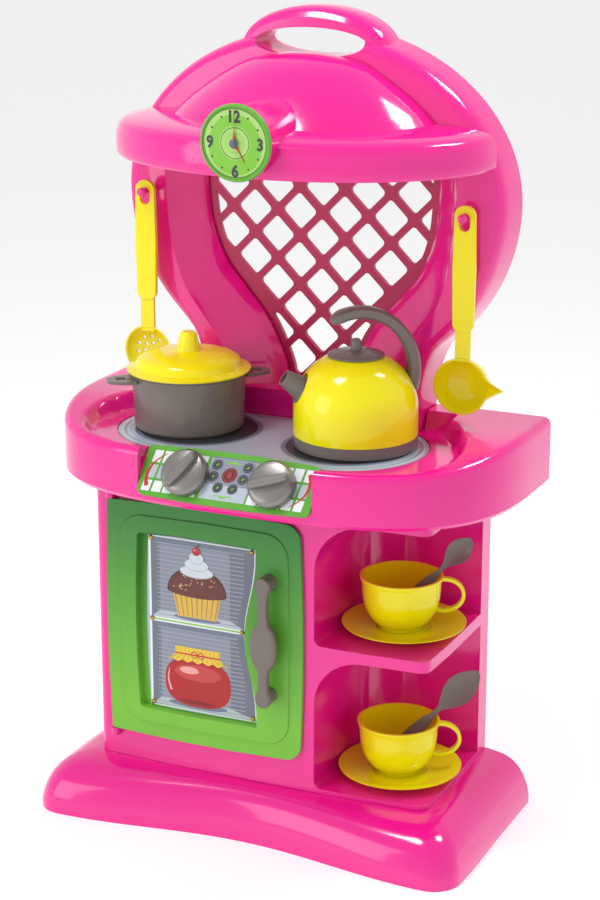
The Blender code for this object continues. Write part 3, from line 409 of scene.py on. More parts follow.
def eased(t):
    t = min(max(t, 0.0), 1.0)
    return t * t * (3 - 2 * t)


def edge_height(depth):
    """Height of the worktop's edge, which falls towards the front."""
    return WORKTOP_TOP - FRONT_DROP * eased((depth - 0.085) / (WORKTOP_DEPTH - 0.095))


def top_ring(outline, below):
    return [at(x, depth, edge_height(depth) - below) for x, depth in mirrored(outline)]


def wing_ring(s):
    """A ring of the top, from the hobs (s = 0) to the edge (s = 1), raised on the wings."""
    reach, r = HOB_X - HOB_MID, HOB_R + 0.005
    inner = [(reach + 0.03, HOB_Y - r + 0.004)]
    inner += [(reach + r * math.cos(a), HOB_Y + r * math.sin(a)) for a in
              (math.radians(-66 + 156 * k / 9) for k in range(10))]
    inner += [(reach * t, HOB_Y + r) for t in (0.66, 0.33, 0.0)]
    ring = []
    for x, depth in mirrored([(i + (o - i) * s, j + (p - j) * s) for (i, j), (o, p) in
                              zip(inner, worktop_outline(0.008))]):
        rise = eased((s - 0.10 - 0.65 * min(max((depth - 0.09) / 0.11, 0.0), 1.0)) / 0.25)
        ring.append(at(x, depth, FLUSH + (edge_height(depth) - FLUSH) * rise))
    return ring


def worktop():
    top, low = WORKTOP_TOP, WORKTOP_LOW
    rings = [wing_ring(k / 24) for k in range(25)]
    for k in range(1, 7):
        a = math.pi / 2 * k / 6
        rings.append(top_ring(worktop_outline(0.008 * (1 - math.sin(a))),
                0.008 * (1 - math.cos(a))))
    rings += [ring_at(worktop_outline(i), z) for i, z in ((0.0, low + 0.004), (0.003, low))]
    rings.append(ring_at(worktop_outline(0.003 + WALL), low, WALL))
    rings.append(ring_at(worktop_outline(WALL), low + 0.006, WALL))
    ceiling = CABINET_TOP + GAP
    rings.append(ring_at(worktop_outline(0.006), ceiling, WALL))
    body = loft("worktop", rings, "pink", across=1)
    cut(body, box("cabinet_seat", (-CABINET_HALF - GAP, REAR - 0.03, low - 0.01),
                  (CABINET_HALF + GAP, REAR + 0.01, ceiling), None))
    well = mirrored_well(0.0015)
    cut(body, loft("worktop_well",
            [[Vector((x, y, z)) for x, y in well] for z in (WELL, top + 0.03)], None,
                   along=1))
    foot = NECK_HALF + GAP
    cut(body, box("backboard_seat", (-foot, REAR - DISC_DEPTH - GAP, WELL), (foot, REAR + 0.01,
            top + 0.03), None))
    wedge = panel_frame("panel_seat", PANEL["width"] + 0.002, 0.0, 0.05, 0.080, None)
    cut(body, wedge)
    for side in (-1, 1):
        cut(body, knob_shaft(f"knob_room_{side}", side, 0.0048, None, -0.03, 0.02))
    return body


def mirrored_well(grow):
    """Outline of the sunk middle: round the two hobs, and out to the front over the panel."""
    r = HOB_R + grow
    points = []
    for k in range(49):
        a = math.pi / 2 - math.pi * k / 48
        points.append((HOB_MID + HOB_X + r * math.cos(a), REAR - HOB_Y + r * math.sin(a)))
    front = REAR - WORKTOP_DEPTH - 0.02
    half = PANEL["width"] / 2 + 0.0006
    points += [(PANEL["x"] + half, REAR - HOB_Y - r), (PANEL["x"] + half, front),
               (PANEL["x"] - half, front), (PANEL["x"] - half, REAR - HOB_Y - r)]
    for k in range(49):
        a = -math.pi / 2 - math.pi * k / 48
        points.append((HOB_MID - HOB_X + r * math.cos(a), REAR - HOB_Y + r * math.sin(a)))
    return points


def hob_plate():
    points = []
    for side in (1, -1):
        for k in range(15):
            a = side * math.pi / 2 - math.pi * k / 14
            depth = HOB_Y - HOB_R * math.sin(a)
            depth = min(max(depth, DISC_DEPTH + 0.0012), 0.2045)
            points.append((HOB_MID + side * HOB_X + HOB_R * math.cos(a), REAR - depth))
    return prism("hob_plate", points, WELL + GAP, WELL + 0.0018, "print")


# ---- control panel and knobs ---------------------------------------------------------
def panel_matrix():
    """Frame on the panel: x along it, y up its slope, z out of its face."""
    turn = Matrix.Rotation(math.pi / 2 - PANEL_TILT, 4, "X")
    return Matrix.Translation(at(PANEL["x"], PANEL["depth"], PANEL["z"])) @ turn


def panel_frame(name, width, low, high, height, colour, corner=0.0):
    frame = panel_matrix()
    outline = rounded([(width / 2, -height / 2, corner), (width / 2, height / 2, corner),
                       (-width / 2, height / 2, corner), (-width / 2, -height / 2, corner)], 4)
    rings = [[frame @ Vector((u, v, w)) for u, v in outline] for w in (low, high)]
    return loft(name, rings, colour)


def knob_centre(side):
    return Vector((side * KNOB_STEP + 0.0025, 0.0, 0.0))


def knob_shaft(name, side, radius, colour, low, high):
    frame, c = panel_matrix(), knob_centre(side)
    return cylinder(name, frame @ (c + Vector((0, 0, low))), frame @ (c + Vector((0, 0, high))),
                    radius, colour, 12)


def control_panel():
    panel = panel_frame("control_panel", PANEL["width"], GAP, PANEL["thick"], PANEL["height"],
                        "green", 0.007)
    for side in (-1, 1):
        cut(panel, knob_shaft(f"panel_hole_{side}", side, 0.0048, None, -0.03, 0.02))
    return panel


def knob(side, name, point):
    """A round knob with a bar grip across it, turned to point, on a shaft."""
    frame, c = panel_matrix(), knob_centre(side)
    low = PANEL["thick"] + 0.0006
    outline = [(0.0040, -0.012), (0.0040, low), (KNOB_R, low), (KNOB_R, low + 0.008),
               (KNOB_R - 0.0025, low + 0.0115), (KNOB_R - 0.006, low + 0.0125)]
    rings = [[frame @ (c + Vector((x, y, z))) for x, y in circle(r, 24)] for r, z in outline]
    body = loft(name, rings, "silver")
    spin = Matrix.Rotation(point, 4, "Z")
    grip = []
    for w, long, wide in ((low + 0.010, 0.0215, 0.0050), (low + 0.0185, 0.0205, 0.0036),
                          (low + 0.0200, 0.0190, 0.0024)):
        pts = rounded([(long, wide, wide * 0.8), (-long, wide, wide * 0.8),
                       (-long, -wide, wide * 0.8), (long, -wide, wide * 0.8)], 2)
        grip.append([frame @ Matrix.Translation(c) @ spin @ Vector((u, v, w)) for u, v in pts])
    return add(body, loft(name + "_grip", grip, None))


def hole_cutters(name, outlines, low, high):
    """Separate prisms from one depth to another, in one mesh, to cut a row of holes with."""
    bm = bmesh.new()
    for outline in outlines:
        ends = [[bm.verts.new(at(x, depth, z)) for x, z in outline] for depth in (low, high)]
        bm.faces.new(list(reversed(ends[0])))
        bm.faces.new(ends[1])
        for i in range(len(outline)):
            j = (i + 1) % len(outline)
            bm.faces.new((ends[0][i], ends[0][j], ends[1][j], ends[1][i]))
    return finish_mesh(name, bm, None)


# ---- backboard -----------------------------------------------------------------------
def disc_outline(inset=0.0, foot=0.0):
    """Right half of the backboard's outline from the foot up to the top, as (x, z)."""
    points = [(NECK_HALF - inset, WELL + GAP + foot), (NECK_HALF - inset, 0.452),
              (NECK_HALF + 0.006 - inset, 0.476), (NECK_HALF + 0.015 - inset, 0.497)]
    for k in range(0, 22):
        a = math.radians(-43 + 133 * k / 21)
        up = DISC_UP if a > 0 else DISC_DOWN
        points.append(((DISC_HALF - inset) * math.cos(a), DISC_MID + (up - inset) * math.sin(a)))
    return points


def handle_outline(inset=0.0):
    """The raised grip's outline: a flat oval over the top of the disc, as (x, z)."""
    return [((0.081 - inset) * math.cos(a), 0.793 + (TOP - 0.793 - inset) * math.sin(a))
            for a in (2 * math.pi * k / 32 for k in range(32))]


def window_outline(grow=0.0, wide=0.0):
    """The vase-shaped opening of the backboard, as (x, z), right half from foot to top."""
    half = [(0.036, 0.440, 0.083), (0.038, 0.458, 0.088), (0.047, 0.482, 0.098), (0.062, 0.510,
            0.118),
            (0.087, 0.540, 0.1395), (0.109, 0.567, 0.1500), (0.124, 0.603, 0.1575), (0.129, 0.640,
                    0.1610),
            (0.129, 0.700, 0.1610)]
    out = [(x + wide * (far - x) + grow, z) for x, z, far in half]
    out[0] = (out[0][0], out[0][1] - grow)
    out[-1] = (out[-1][0], out[-1][1] + grow)
    return out


def both_sides(half):
    return half + [(-x, z) for x, z in reversed(half) if x > 1e-6]


def backboard():
    """A shell open to the rear: rim, front face, window frame and grip with its hand slot."""
    steps = [(0.0, 0.0), (0.002, 0.030), (0.004, DISC_DEPTH - 0.010), (0.008, DISC_DEPTH - 0.003),
             (0.014, DISC_DEPTH)]
    rings = [[at(x, depth, z) for x, z in both_sides(disc_outline(i))] for i, depth in steps]
    rings = rings[::-1]
    rings += [[at(x, depth, z) for x, z in both_sides(disc_outline(i + WALL, WALL))]
              for i, depth in ((0.0, 0.0), (0.004, DISC_DEPTH - 0.012), (0.014, DISC_DEPTH - WALL))]
    body = loft("backboard", rings, "pink")
    grip_steps = [(0.0035, 0.0), (0.0, 0.004), (0.0, 0.030), (0.003, 0.038), (0.010, 0.043)]
    grip = loft("grip_blank", [[at(x, depth, z) for x, z in handle_outline(i)]
                               for i, depth in grip_steps], None)
    add(body, grip)
    flare = [(0.0, 0.0), (0.019, 0.0), (0.027, 0.18), (0.036, 0.52), (0.044, 0.80), (DISC_DEPTH,
            1.0)]
    frame = [[at(x, depth, z) for x, z in both_sides(window_outline(WALL + 0.001, t))] for depth,
            t in flare]
    frame[0] = [p - Vector((0, 0.002, 0)) for p in frame[0]]
    frame[-1] = [p + Vector((0, 0.001, 0)) for p in frame[-1]]
    add(body, loft("window_frame", frame, None))
    flare = [(-0.02, 0.0)] + flare[1:] + [(DISC_DEPTH + 0.02, 1.25)]
    cut(body, loft("window_room", [[at(x, depth, z) for x, z in both_sides(window_outline(0.0, t))]
                                   for depth, t in flare], None))
    slot = [[at(x, depth, z) for x, z in
             ((0.060 * math.cos(a), 0.8005 + 0.0145 * math.sin(a))
              for a in (2 * math.pi * k / 28 for k in range(28)))] for depth in (-0.02, 0.08)]
    return cut(body, loft("grip_slot", slot, None))


def lattice():
    """The plate of diamonds behind the window."""
    outline = both_sides([(x - 0.0006, z) for x, z in window_outline(-GAP)])
    plate = loft("lattice_grille", [[at(x, depth, z) for x, z in outline] for depth in
                                    (LATTICE_DEPTH - LATTICE_THICK / 2,
                                    LATTICE_DEPTH + LATTICE_THICK / 2)],
                 "pink")
    reach, outlines = GRID - RIB * 0.64, []
    for row in range(-2, 8):
        for column in range(-5, 6):
            x, z = column * GRID, GRID_TOP - row * GRID * 1.012
            if (row + column) % 2 and in_window(x, z):
                outlines.append(rounded([(x + reach, z, 0.0045), (x, z + reach, 0.0045),
                                         (x - reach, z, 0.0045), (x, z - reach, 0.0045)], 3))
    holes = hole_cutters("lattice_holes", outlines, 0.0, 0.03)
    inside = both_sides([(x - 0.0040, z) for x, z in window_outline(-0.003)])
    limit = loft("lattice_limit",
            [[at(x, depth, z) for x, z in inside] for depth in (0.001, 0.029)], None)
    return cut(plate, combine(holes, limit, "INTERSECT"))


def in_window(x, z):
    """Whether enough of a hole centred here lies inside the window."""
    half = window_outline(0.004)
    if not half[0][1] < z < half[-1][1]:
        return False
    for (x0, z0), (x1, z1) in zip(half[1:], half[2:]):
        if z0 <= z <= z1:
            return abs(x) < x0 + (x1 - x0) * (z - z0) / (z1 - z0)
    return abs(x) < half[1][0]


# ---- hood and clock ------------------------------------------------------------------
def hood_ring(half, depth, z, power, back):
    """A D-shaped ring: flat at the back, bowed to the front."""
    points = [(half, back)]
    for k in range(0, 17):
        a = math.pi * k / 16
        c, s = math.cos(a), math.sin(a)
        points.append((half * math.copysign(abs(c) ** (2 / power), c),
                       back + 0.002 + (depth - back - 0.002) * s ** (2 / power)))
    points.append((-half, back))
    return [at(x, d, z) for x, d in points]


def hood():
    back = DISC_DEPTH + GAP
    outer = [(0.018, 0.068, 0.7915, 2.0), (0.060, 0.092, 0.784, 2.0), (0.100, 0.124, 0.762, 2.0),
             (0.126, 0.144, 0.742, 2.0), (0.139, 0.155, 0.729, 2.0), (0.190, 0.1925, 0.7235, 2.0),
             (0.1975, 0.199, 0.7195, 2.0), (0.2010, 0.2015, 0.7120, 2.0), (0.202, 0.202,
                     HOOD_LOW + 0.003, 2.0),
             (0.200, 0.200, HOOD_LOW, 2.0)]
    rings = [hood_ring(h, d, z, p, back) for h, d, z, p in outer]
    inner = [(0.200, 0.200, HOOD_LOW, 2.0), (0.201, 0.201, 0.706, 2.0), (0.188, 0.192, 0.7165, 2.0),
             (0.139, 0.155, 0.7240, 2.0), (0.120, 0.138, 0.738, 2.0), (0.094, 0.116, 0.756, 2.0),
             (0.050, 0.084, 0.774, 2.0)]
    rings += [hood_ring(h - WALL, d - WALL, z, p, back + WALL) for h, d, z, p in inner]
    body = loft("canopy_hood", rings, "pink")
    z, front = CLOCK["z"], CLOCK["front"] - 0.006
    add(body, cylinder("barrel", at(0, 0.100, z), at(0, front, z), 0.0335, None, 28))
    return cut(body, cylinder("barrel_room", at(0, 0.062, z), at(0, front - 0.004, z), 0.0300, None,
            28))


def clock():
    z, front, r = CLOCK["z"], CLOCK["front"], CLOCK["r"]
    back = front - 0.0060 + GAP

    def disc(name, steps, colour, count=32):
        return loft(name, rings_out(0, z, steps, count), colour)
    disc("clock_bezel", [(r - 0.0012, back), (r, back + 0.002), (r, front - 0.0018), (r - 0.001,
            front - 0.0003),
                         (r - 0.003, front - 0.0003), (r - 0.003, front - 0.0018)], "green")
    disc("clock_dial", [(r - 0.0034, front - 0.0018 + GAP), (r - 0.0034, front - 0.0010)], "green")
    for name, length, depth, turn, tail in (("clock_hour_hand", 0.021, front - 0.0007, -150, 0.004),
                                            ("clock_minute_hand", 0.0325, front + 0.0005, 0,
                                            0.005)):
        blade = [(0.0, length), (-0.0013, 0.004), (-0.0030, 0.0), (-0.0011, -tail), (0.0011, -tail),
                 (0.0030, 0.0), (0.0013, 0.004)]
        spin = Matrix.Rotation(math.radians(turn), 2)
        outline = [spin @ Vector(p) for p in blade]
        rings = [[at(p.x, d, z + p.y) for p in outline] for d in (depth, depth + 0.0008)]
        loft(name, rings, "red")
    disc("clock_hub", [(0.0042, front + 0.0016), (0.0042, front + 0.0030), (0.0034, front + 0.0044),
                       (0.0018, front + 0.0052)], "steel", 16)


# ---- pegs, skimmer and ladle ---------------------------------------------------------
def pegs():
    for side, name in ((-1, "peg_left"), (1, "peg_right")):
        steps = [(PEG_R, DISC_DEPTH + GAP), (PEG_R, 0.0740), (PEG_R + 0.0010, 0.0760),
                (PEG_R + 0.0006, 0.0790),
                 (PEG_R - 0.0016, 0.0800)]
        z = PEG_Z + PEG_LIFT
        loft(name, rings_out(side * PEG_X, z, steps, 14), "pink")


def strip(name, outline, low, high, colour):
    return loft(name, [[at(x, d, z) for x, z in outline] for d in (low, high)], colour)


def utensil_handle(name, x, low, top, foot, colour):
    """Flat grip with a slot at its top, narrowing to a shank."""
    wide, slim, front = 0.0108, 0.0078, 0.0700
    body = strip(name,
            rounded([(x - wide, top, 0.0107), (x + wide, top, 0.0107), (x + wide, low, 0.008),
                                (x - wide, low, 0.008)], 5), front - 0.0045, front, colour)
    shank = strip(name + "_shank", [(x - slim, foot), (x + slim, foot), (x + slim, low + 0.012),
                                    (x - slim, low + 0.012)], front - 0.0042, front - 0.0012, None)
    add(body, shank)
    half, depth = 0.0058, 0.0120
    slot = rounded([(x - half, PEG_Z + half, half * 0.98), (x + half, PEG_Z + half, half * 0.98),
                    (x + half, PEG_Z - depth, half * 0.98), (x - half, PEG_Z - depth, half * 0.98)],
                    5)
    return body, strip(name + "_slot", slot, 0.05, 0.09, None)


def skimmer():
    x = -PEG_X
    body, slot = utensil_handle("skimmer", x, 0.527, 0.6535, 0.492, "yellow")
    bowl_z, r = 0.4710, 0.0275
    front = 0.0690
    steps = [(0.010, front - 0.0085), (0.018, front - 0.0070), (0.024, front - 0.0040), (r, front),
             (r - 0.002, front), (0.0225, front - 0.0022), (0.017, front - 0.0048), (0.009,
                     front - 0.0063)]
    add(body, loft("skimmer_bowl", rings_out(x, bowl_z, steps, 24), None))
    cut(body, slot)
    outlines = []
    for ring, count in ((0.0, 1), (0.0075, 6), (0.0150, 10)):
        for k in range(count):
            a = 2 * math.pi * k / count + 0.2
            cx, cz = x + ring * math.cos(a), bowl_z + ring * math.sin(a)
            outlines.append([(cx + u, cz + v) for u, v in circle(0.0018, 8)])
    return cut(body, hole_cutters("skimmer_holes", outlines, 0.05, 0.08))


def ladle():
    x = PEG_X
    body, slot = utensil_handle("ladle", x, 0.527, 0.6535, 0.4966, "yellow")
    bowl_x, bowl_z, r, front = x - 0.0010, 0.4710, 0.0290, 0.0695

    def ring(size, depth, lip):
        points = []
        for u, v in circle(size, 28):
            a = abs(math.atan2(v, u))
            points.append(at(bowl_x + u + (lip * (1 - a / 0.42) ** 1.5 if a < 0.42 else 0.0), depth,
                    bowl_z + v))
        return points
    steps = [(0.013, front - 0.0250, 0), (0.021, front - 0.0205, 0), (0.0262, front - 0.0120,
            0.002),
             (0.0278, front - 0.003, 0.014), (r, front, 0.017), (r - 0.0022, front, 0.016),
             (0.0258, front - 0.003, 0.013), (0.0242, front - 0.0110, 0.001), (0.0192,
                     front - 0.0185, 0),
             (0.0115, front - 0.0225, 0)]
    add(body, loft("ladle_bowl", [ring(*s) for s in steps], None))
    return cut(body, slot)


# ---- oven door -----------------------------------------------------------------------
def waisted(x0, x1, z0, z1, corner, waist, grow=0.0):
    """A rounded window whose right side bows inwards."""
    left = rounded([(x0 - grow, z1 + grow, corner), (x0 - grow, z0 - grow, corner), (0.0, z0 - grow,
            0),
                    (0.0, z1 + grow, 0)], 3)[:-2]
    right, count = [], 10
    for k in range(count + 1):
        t = k / count
        bow = math.sin(math.pi * min(max((t - 0.06) / 0.88, 0.0), 1.0)) ** 2
        right.append((x1 + grow - waist * bow, z0 - grow + (z1 - z0 + 2 * grow) * t))
    return left + right


def door():
    front = HINGE_DEPTH + DOOR["thick"] / 2 - 0.0012
    back = front - DOOR["thick"]
    x0, x1, z0, z1 = DOOR["x0"], DOOR["x1"], DOOR["z0"], DOOR["z1"]
    body = strip("oven_door",
            rounded([(x0, z0, 0.002), (x1, z0, 0.018), (x1, z1, 0.018), (x0, z1, 0.002)], 4),
                 back, front, "green")
    raised = [rounded([(-0.151 - g, 0.1015 - g, 0.026), (0.0395 + g, 0.1015 - g, 0.026),
                       (0.0395 + g, 0.3290 + g, 0.026), (-0.151 - g, 0.3290 + g, 0.026)],
                       6) for g in (0.001, 0.0)]
    add(body, loft("door_raised", [[at(x, d, z) for x, z in outline] for outline, d in
                                   zip(raised, (front - 0.001, front + 0.0014))], None))
    tray = waisted(-0.1350, 0.0075, 0.1135, 0.3145, 0.008, 0.012)
    add(body, strip("door_tray", tray, back - 0.0060, back + 0.002, None))
    window = [waisted(-0.1310, 0.0035, 0.1175, 0.3105, 0.005, 0.013, g) for g in (0.0, 0.0, 0.001)]
    cut(body, loft("window_recess", [[at(x, d, z) for x, z in outline] for outline, d in
                                     zip(window, (front - 0.0080, front - 0.001, front + 0.004))],
                                     None))
    for z, w in ((z0, -1), (z1, 1)):
        cut(body, cylinder(f"pin_hole_{z:.3f}", at(HINGE_X, HINGE_DEPTH, z + 0.01 * w),
                           at(HINGE_X, HINGE_DEPTH, z - 0.008 * w), 0.0021, None, 12))
    card = waisted(-0.1225, 0.0005, 0.1188, 0.3072, 0.002, 0.0125)
    strip("door_picture", card, front - 0.0080 + GAP, front - 0.0068, "print")
    number = 0
    for z, right in ((0.1225, -0.0035), (0.2160, -0.0155), (0.3045, -0.0035)):
        for x in (-0.1190, right):
            number += 1
            rings = [[at(x + u, d, z + v) for u, v in circle(r, 10)] for r, d in
                     ((0.0026, front - 0.0068 + GAP), (0.0024, front - 0.0056), (0.0012,
                     front - 0.0046))]
            loft(f"door_rivet_{number}", rings, "brass")
    return front + 0.0014


def door_handle(front):
    """A bar on two round posts, with a broad oval in its middle."""
    x, low, high = 0.0190, 0.1570, 0.2790
    middle, near, far = (low + high) / 2 - 0.005, front + 0.0115, front + 0.0180
    half = [(0.0088 * math.sin(a),
            low - 0.0088 * math.cos(a)) for a in (math.pi * k / 8 for k in range(6))]
    half += [(0.0056, low + 0.0095), (0.0050, middle - 0.034), (0.0056, middle - 0.0275)]
    half += [(0.0145 * math.cos(a), middle + 0.0270 * math.sin(a)) for a in
             (math.radians(-62 + 124 * k / 8) for k in range(9))]
    half += [(0.0056, middle + 0.0275), (0.0050, middle + 0.034), (0.0056, high - 0.0095)]
    half += [(0.0088 * math.sin(a),
            high - 0.0088 * math.cos(a)) for a in (math.pi * k / 8 for k in range(3, 9))]
    outline = both_sides(half)
    rings = []
    for d, inset in ((near, 0.0), (far - 0.0018, 0.0), (far, 0.0018)):
        rings.append([at(x + u * (1 - inset / 0.0095), d, v) for u, v in outline])
    body = loft("door_handle", rings, "grey")
    for z in (low, high):
        add(body, loft(f"handle_post_{z:.3f}",
                [[at(x + u, d, z + v) for u, v in circle(r, 16)] for r, d in
                                                ((0.0088, front + GAP), (0.0078, front + 0.004),
                                                 (0.0078, near + 0.001))], None))
    return body


def hinges():
    z0, z1 = DOOR["z0"], DOOR["z1"]
    for name, z, w in (("lower", z0, -1), ("upper", z1, 1)):
        edge = z + 0.0006 * w
        outline = rounded([(HINGE_X - 0.0045, REAR - CABINET_DEPTH - GAP, 0),
                           (HINGE_X + 0.0045, REAR - CABINET_DEPTH - GAP, 0),
                           (HINGE_X + 0.0045, REAR - HINGE_DEPTH - 0.004, 0.0042),
                           (HINGE_X - 0.0045, REAR - HINGE_DEPTH - 0.004, 0.0042)], 3)
        ends = sorted((edge, edge + 0.008 * w))
        bracket = prism(f"hinge_socket_{name}", outline, ends[0], ends[1], "pink")
        cut(bracket, cylinder(f"socket_hole_{name}", at(HINGE_X, HINGE_DEPTH, edge - 0.01 * w),
                              at(HINGE_X, HINGE_DEPTH, edge + 0.006 * w), 0.0020, None, 12))
        cylinder(f"hinge_pin_{name}", at(HINGE_X, HINGE_DEPTH, edge + 0.0055 * w),
                 at(HINGE_X, HINGE_DEPTH, edge - 0.0075 * w), 0.0016, "steel", 12)


# ---- pot and kettle ------------------------------------------------------------------
def pot():
    base = WELL + 0.0018 + GAP
    centre = at(POT[0], POT[1], base)
    body = turned("pot", [(0.054, 0.0), (0.0565, 0.003), (0.0585, 0.057), (0.0600, 0.0585), (0.0600,
            0.060),
                          (0.0565, 0.060), (0.0540, 0.004)], centre, "grey", 32)
    for side in (-1, 1):
        ear = [(0.0572, -0.017), (0.074, -0.014), (0.084, -0.008), (0.086, 0.0), (0.084, 0.008),
               (0.074, 0.014),
               (0.0572, 0.017)]
        angle = math.radians(40)
        turn = Matrix.Rotation(angle, 2)
        points = [turn @ Vector((side * u, v)) for u, v in ear]
        rings = [[centre + Vector((p.x, p.y, z)) for p in points] for z in (0.0510, 0.0540)]
        add(body, loft(f"pot_ear_{side}", rings, None))
        hole = [turn @ Vector((side * u, v)) for u, v in ((0.066, -0.006), (0.076, -0.006), (0.076,
                0.006), (0.066, 0.006))]
        cut(body, loft(f"pot_ear_hole_{side}",
                [[centre + Vector((p.x, p.y, z)) for p in hole] for z in (0.045, 0.060)],
                       None))
    top = centre + Vector((0, 0, 0.060 + GAP))
    lid = turned("pot_lid", [(0.0540, -0.004), (0.0548, 0.0), (0.0635, 0.0), (0.0640, 0.0016),
            (0.0560, 0.0045),
                             (0.0520, 0.0120), (0.044, 0.0158), (0.024, 0.0190), (0.0125, 0.0195),
                             (0.0085, 0.0370),
                             (0.0065, 0.0390)][::-1] + [(0.0515, -0.004), (0.0500, 0.0100), (0.042,
                             0.0135),
                                                        (0.020, 0.0162)], top, "yellow", 32)
    return body, lid


def kettle():
    base = WELL + 0.0018 + GAP
    c = at(KETTLE[0], KETTLE[1], base)
    ring = turned("kettle_base", [(0.0600, 0.0), (0.0622, 0.002), (0.0626, 0.0130), (0.0560,
            0.0130),
                                  (0.0555, 0.002)], c, "grey", 32)
    wide, tall, middle = 0.0626, 0.0583, 0.0400
    arc = [math.radians(a) for a in (0, 11, 22, 33, 44, 54, 61)]
    dome = [(wide, 0.0133)] + [(wide * math.cos(a), middle + tall * math.sin(a)) for a in arc]
    dome += [(0.0262, 0.0925), (0.0262, 0.0895)]
    dome += [((wide - 0.0035) * math.cos(a),
            middle + (tall - 0.0035) * math.sin(a)) for a in reversed(arc[:-1])]
    dome += [(wide - 0.0035, 0.0165), (0.0580, 0.0165), (0.0580, 0.0133)]
    body = loft("kettle_body", rings_up(c, dome, 32), "yellow", ring_closed=True)
    turned("kettle_lid", [(0.0240, 0.0865), (0.0245, 0.0929), (0.0285, 0.0929), (0.0285, 0.0942),
            (0.0230, 0.0962),
                          (0.0110, 0.0978), (0.0056, 0.0990), (0.0046, 0.1080), (0.0032, 0.1098)],
                          c, "grey", 28)
    spin = Matrix.Rotation(KETTLE_TURN, 3, "Z")
    axis = spin @ Vector((-0.830, 0, 0.558))
    root = c + spin @ Vector((-0.0520, 0, 0.0590))
    turn = axis.to_track_quat("Z", "Y").to_matrix()
    tube = [(0.0115, -0.006), (0.0150, -0.002), (0.0153, 0.0035), (0.0120, 0.0050), (0.0083,
            0.0250),
            (0.0066, 0.0250), (0.0090, -0.006)]
    rings = [[root + turn @ Vector((x, y, z)) for x, y in circle(r, 20)] for r, z in tube]
    loft("kettle_spout", rings, "grey", ring_closed=True)
    cut(body, cylinder("spout_seat", root - axis * 0.03, root + axis * 0.05, 0.0156, None, 20))
    path = []
    for k in range(17):
        a = math.radians(-19 + 141 * k / 16)
        path.append((0.0037 + 0.0545 * math.cos(a), 0.0770 + 0.0595 * math.sin(a)))
    rings = []
    for i, (x, z) in enumerate(path):
        before, after = path[max(i - 1, 0)], path[min(i + 1, len(path) - 1)]
        along = Vector((after[0] - before[0], 0, after[1] - before[1])).normalized()
        out = Vector((along.z, 0, -along.x))
        s = i / (len(path) - 1)
        half_wide = 0.0100 - 0.0020 * s if i < 16 else 0.0050
        half_thick = 0.0068 - 0.0012 * s if i < 16 else 0.0030
        rings.append([c + spin @ (Vector((x, 0, z)) + out * half_thick * u + Vector((0,
                half_wide * v, 0)))
                      for u, v in ((1, 0.6), (0.6, 1), (-0.6, 1), (-1, 0.6), (-1, -0.6), (-0.6, -1),
                      (0.6, -1),
                                   (1, -0.6))])
    handle = loft("kettle_handle", rings, "grey")
    trim = [(wide + GAP, 0.0)] + [((wide + GAP) * math.cos(a),
            middle + (tall + GAP) * math.sin(a)) for a in arc]
    cut(handle, loft("handle_trim", rings_up(c, trim, 32), None))


# ---- cups ----------------------------------------------------------------------------
def cup_set(level, shift, rim_way, foot, bowl):
    """Saucer, cup and spoon of one niche. The spoon leans on the rim towards rim_way."""
    floor = FLOORS[level] + GAP
    centre = at(*SAUCERS[level], floor)
    turned("saucer_" + level, [(0.034, 0.0), (0.040, 0.0020), (0.058, 0.0072), (0.0636, 0.0090),
            (0.0640, 0.0102),
                               (0.0570, 0.0090), (0.040, 0.0047), (0.0285, 0.0042), (0.0270,
                               0.0030)],
           centre, "yellow", 32)
    seat = centre + Vector((shift, 0, 0.0030 + GAP))
    cup = turned("cup_" + level, [(0.0220, 0.0), (0.0230, 0.0030), (0.0290, 0.0080), (0.0365,
            0.0200), (0.0398, 0.0340),
                                  (0.0413, 0.0500), (0.0428, 0.0545), (0.0428, 0.0560), (0.0400,
                                  0.0560),
                                  (0.0378, 0.0350), (0.0345, 0.0210), (0.0270, 0.0100), (0.0220,
                                  0.0080)],
                 seat, "yellow", 32)
    rings, turn = [], Matrix.Rotation(math.radians(24), 3, "Z")
    count = 12
    for k in range(count + 1):
        a = math.radians(-122 + 226 * k / count)
        spine = Vector((0.0435 + 0.0200 * math.cos(a), 0, 0.0345 + 0.0170 * math.sin(a)))
        out = Vector((math.cos(a), 0, math.sin(a)))
        rings.append([seat + turn @ (spine + out * u + Vector((0, v, 0))) for u, v in
                      ((0.0018, 0.0032), (-0.0018, 0.0032), (-0.0018, -0.0032), (0.0018, -0.0032))])
    add(cup, loft("cup_loop_" + level, rings, None))
    cut(cup, loft("cup_room_" + level, [[seat + Vector((x, y, z)) for x, y in circle(r, 32)] for r,
            z in
                                        ((0.0219, 0.0082), (0.0268, 0.0102), (0.0343, 0.0212),
                                        (0.0376, 0.0352),
                                         (0.0398, 0.0600))], None))
    spoon(level, seat, rim_way, foot, bowl)


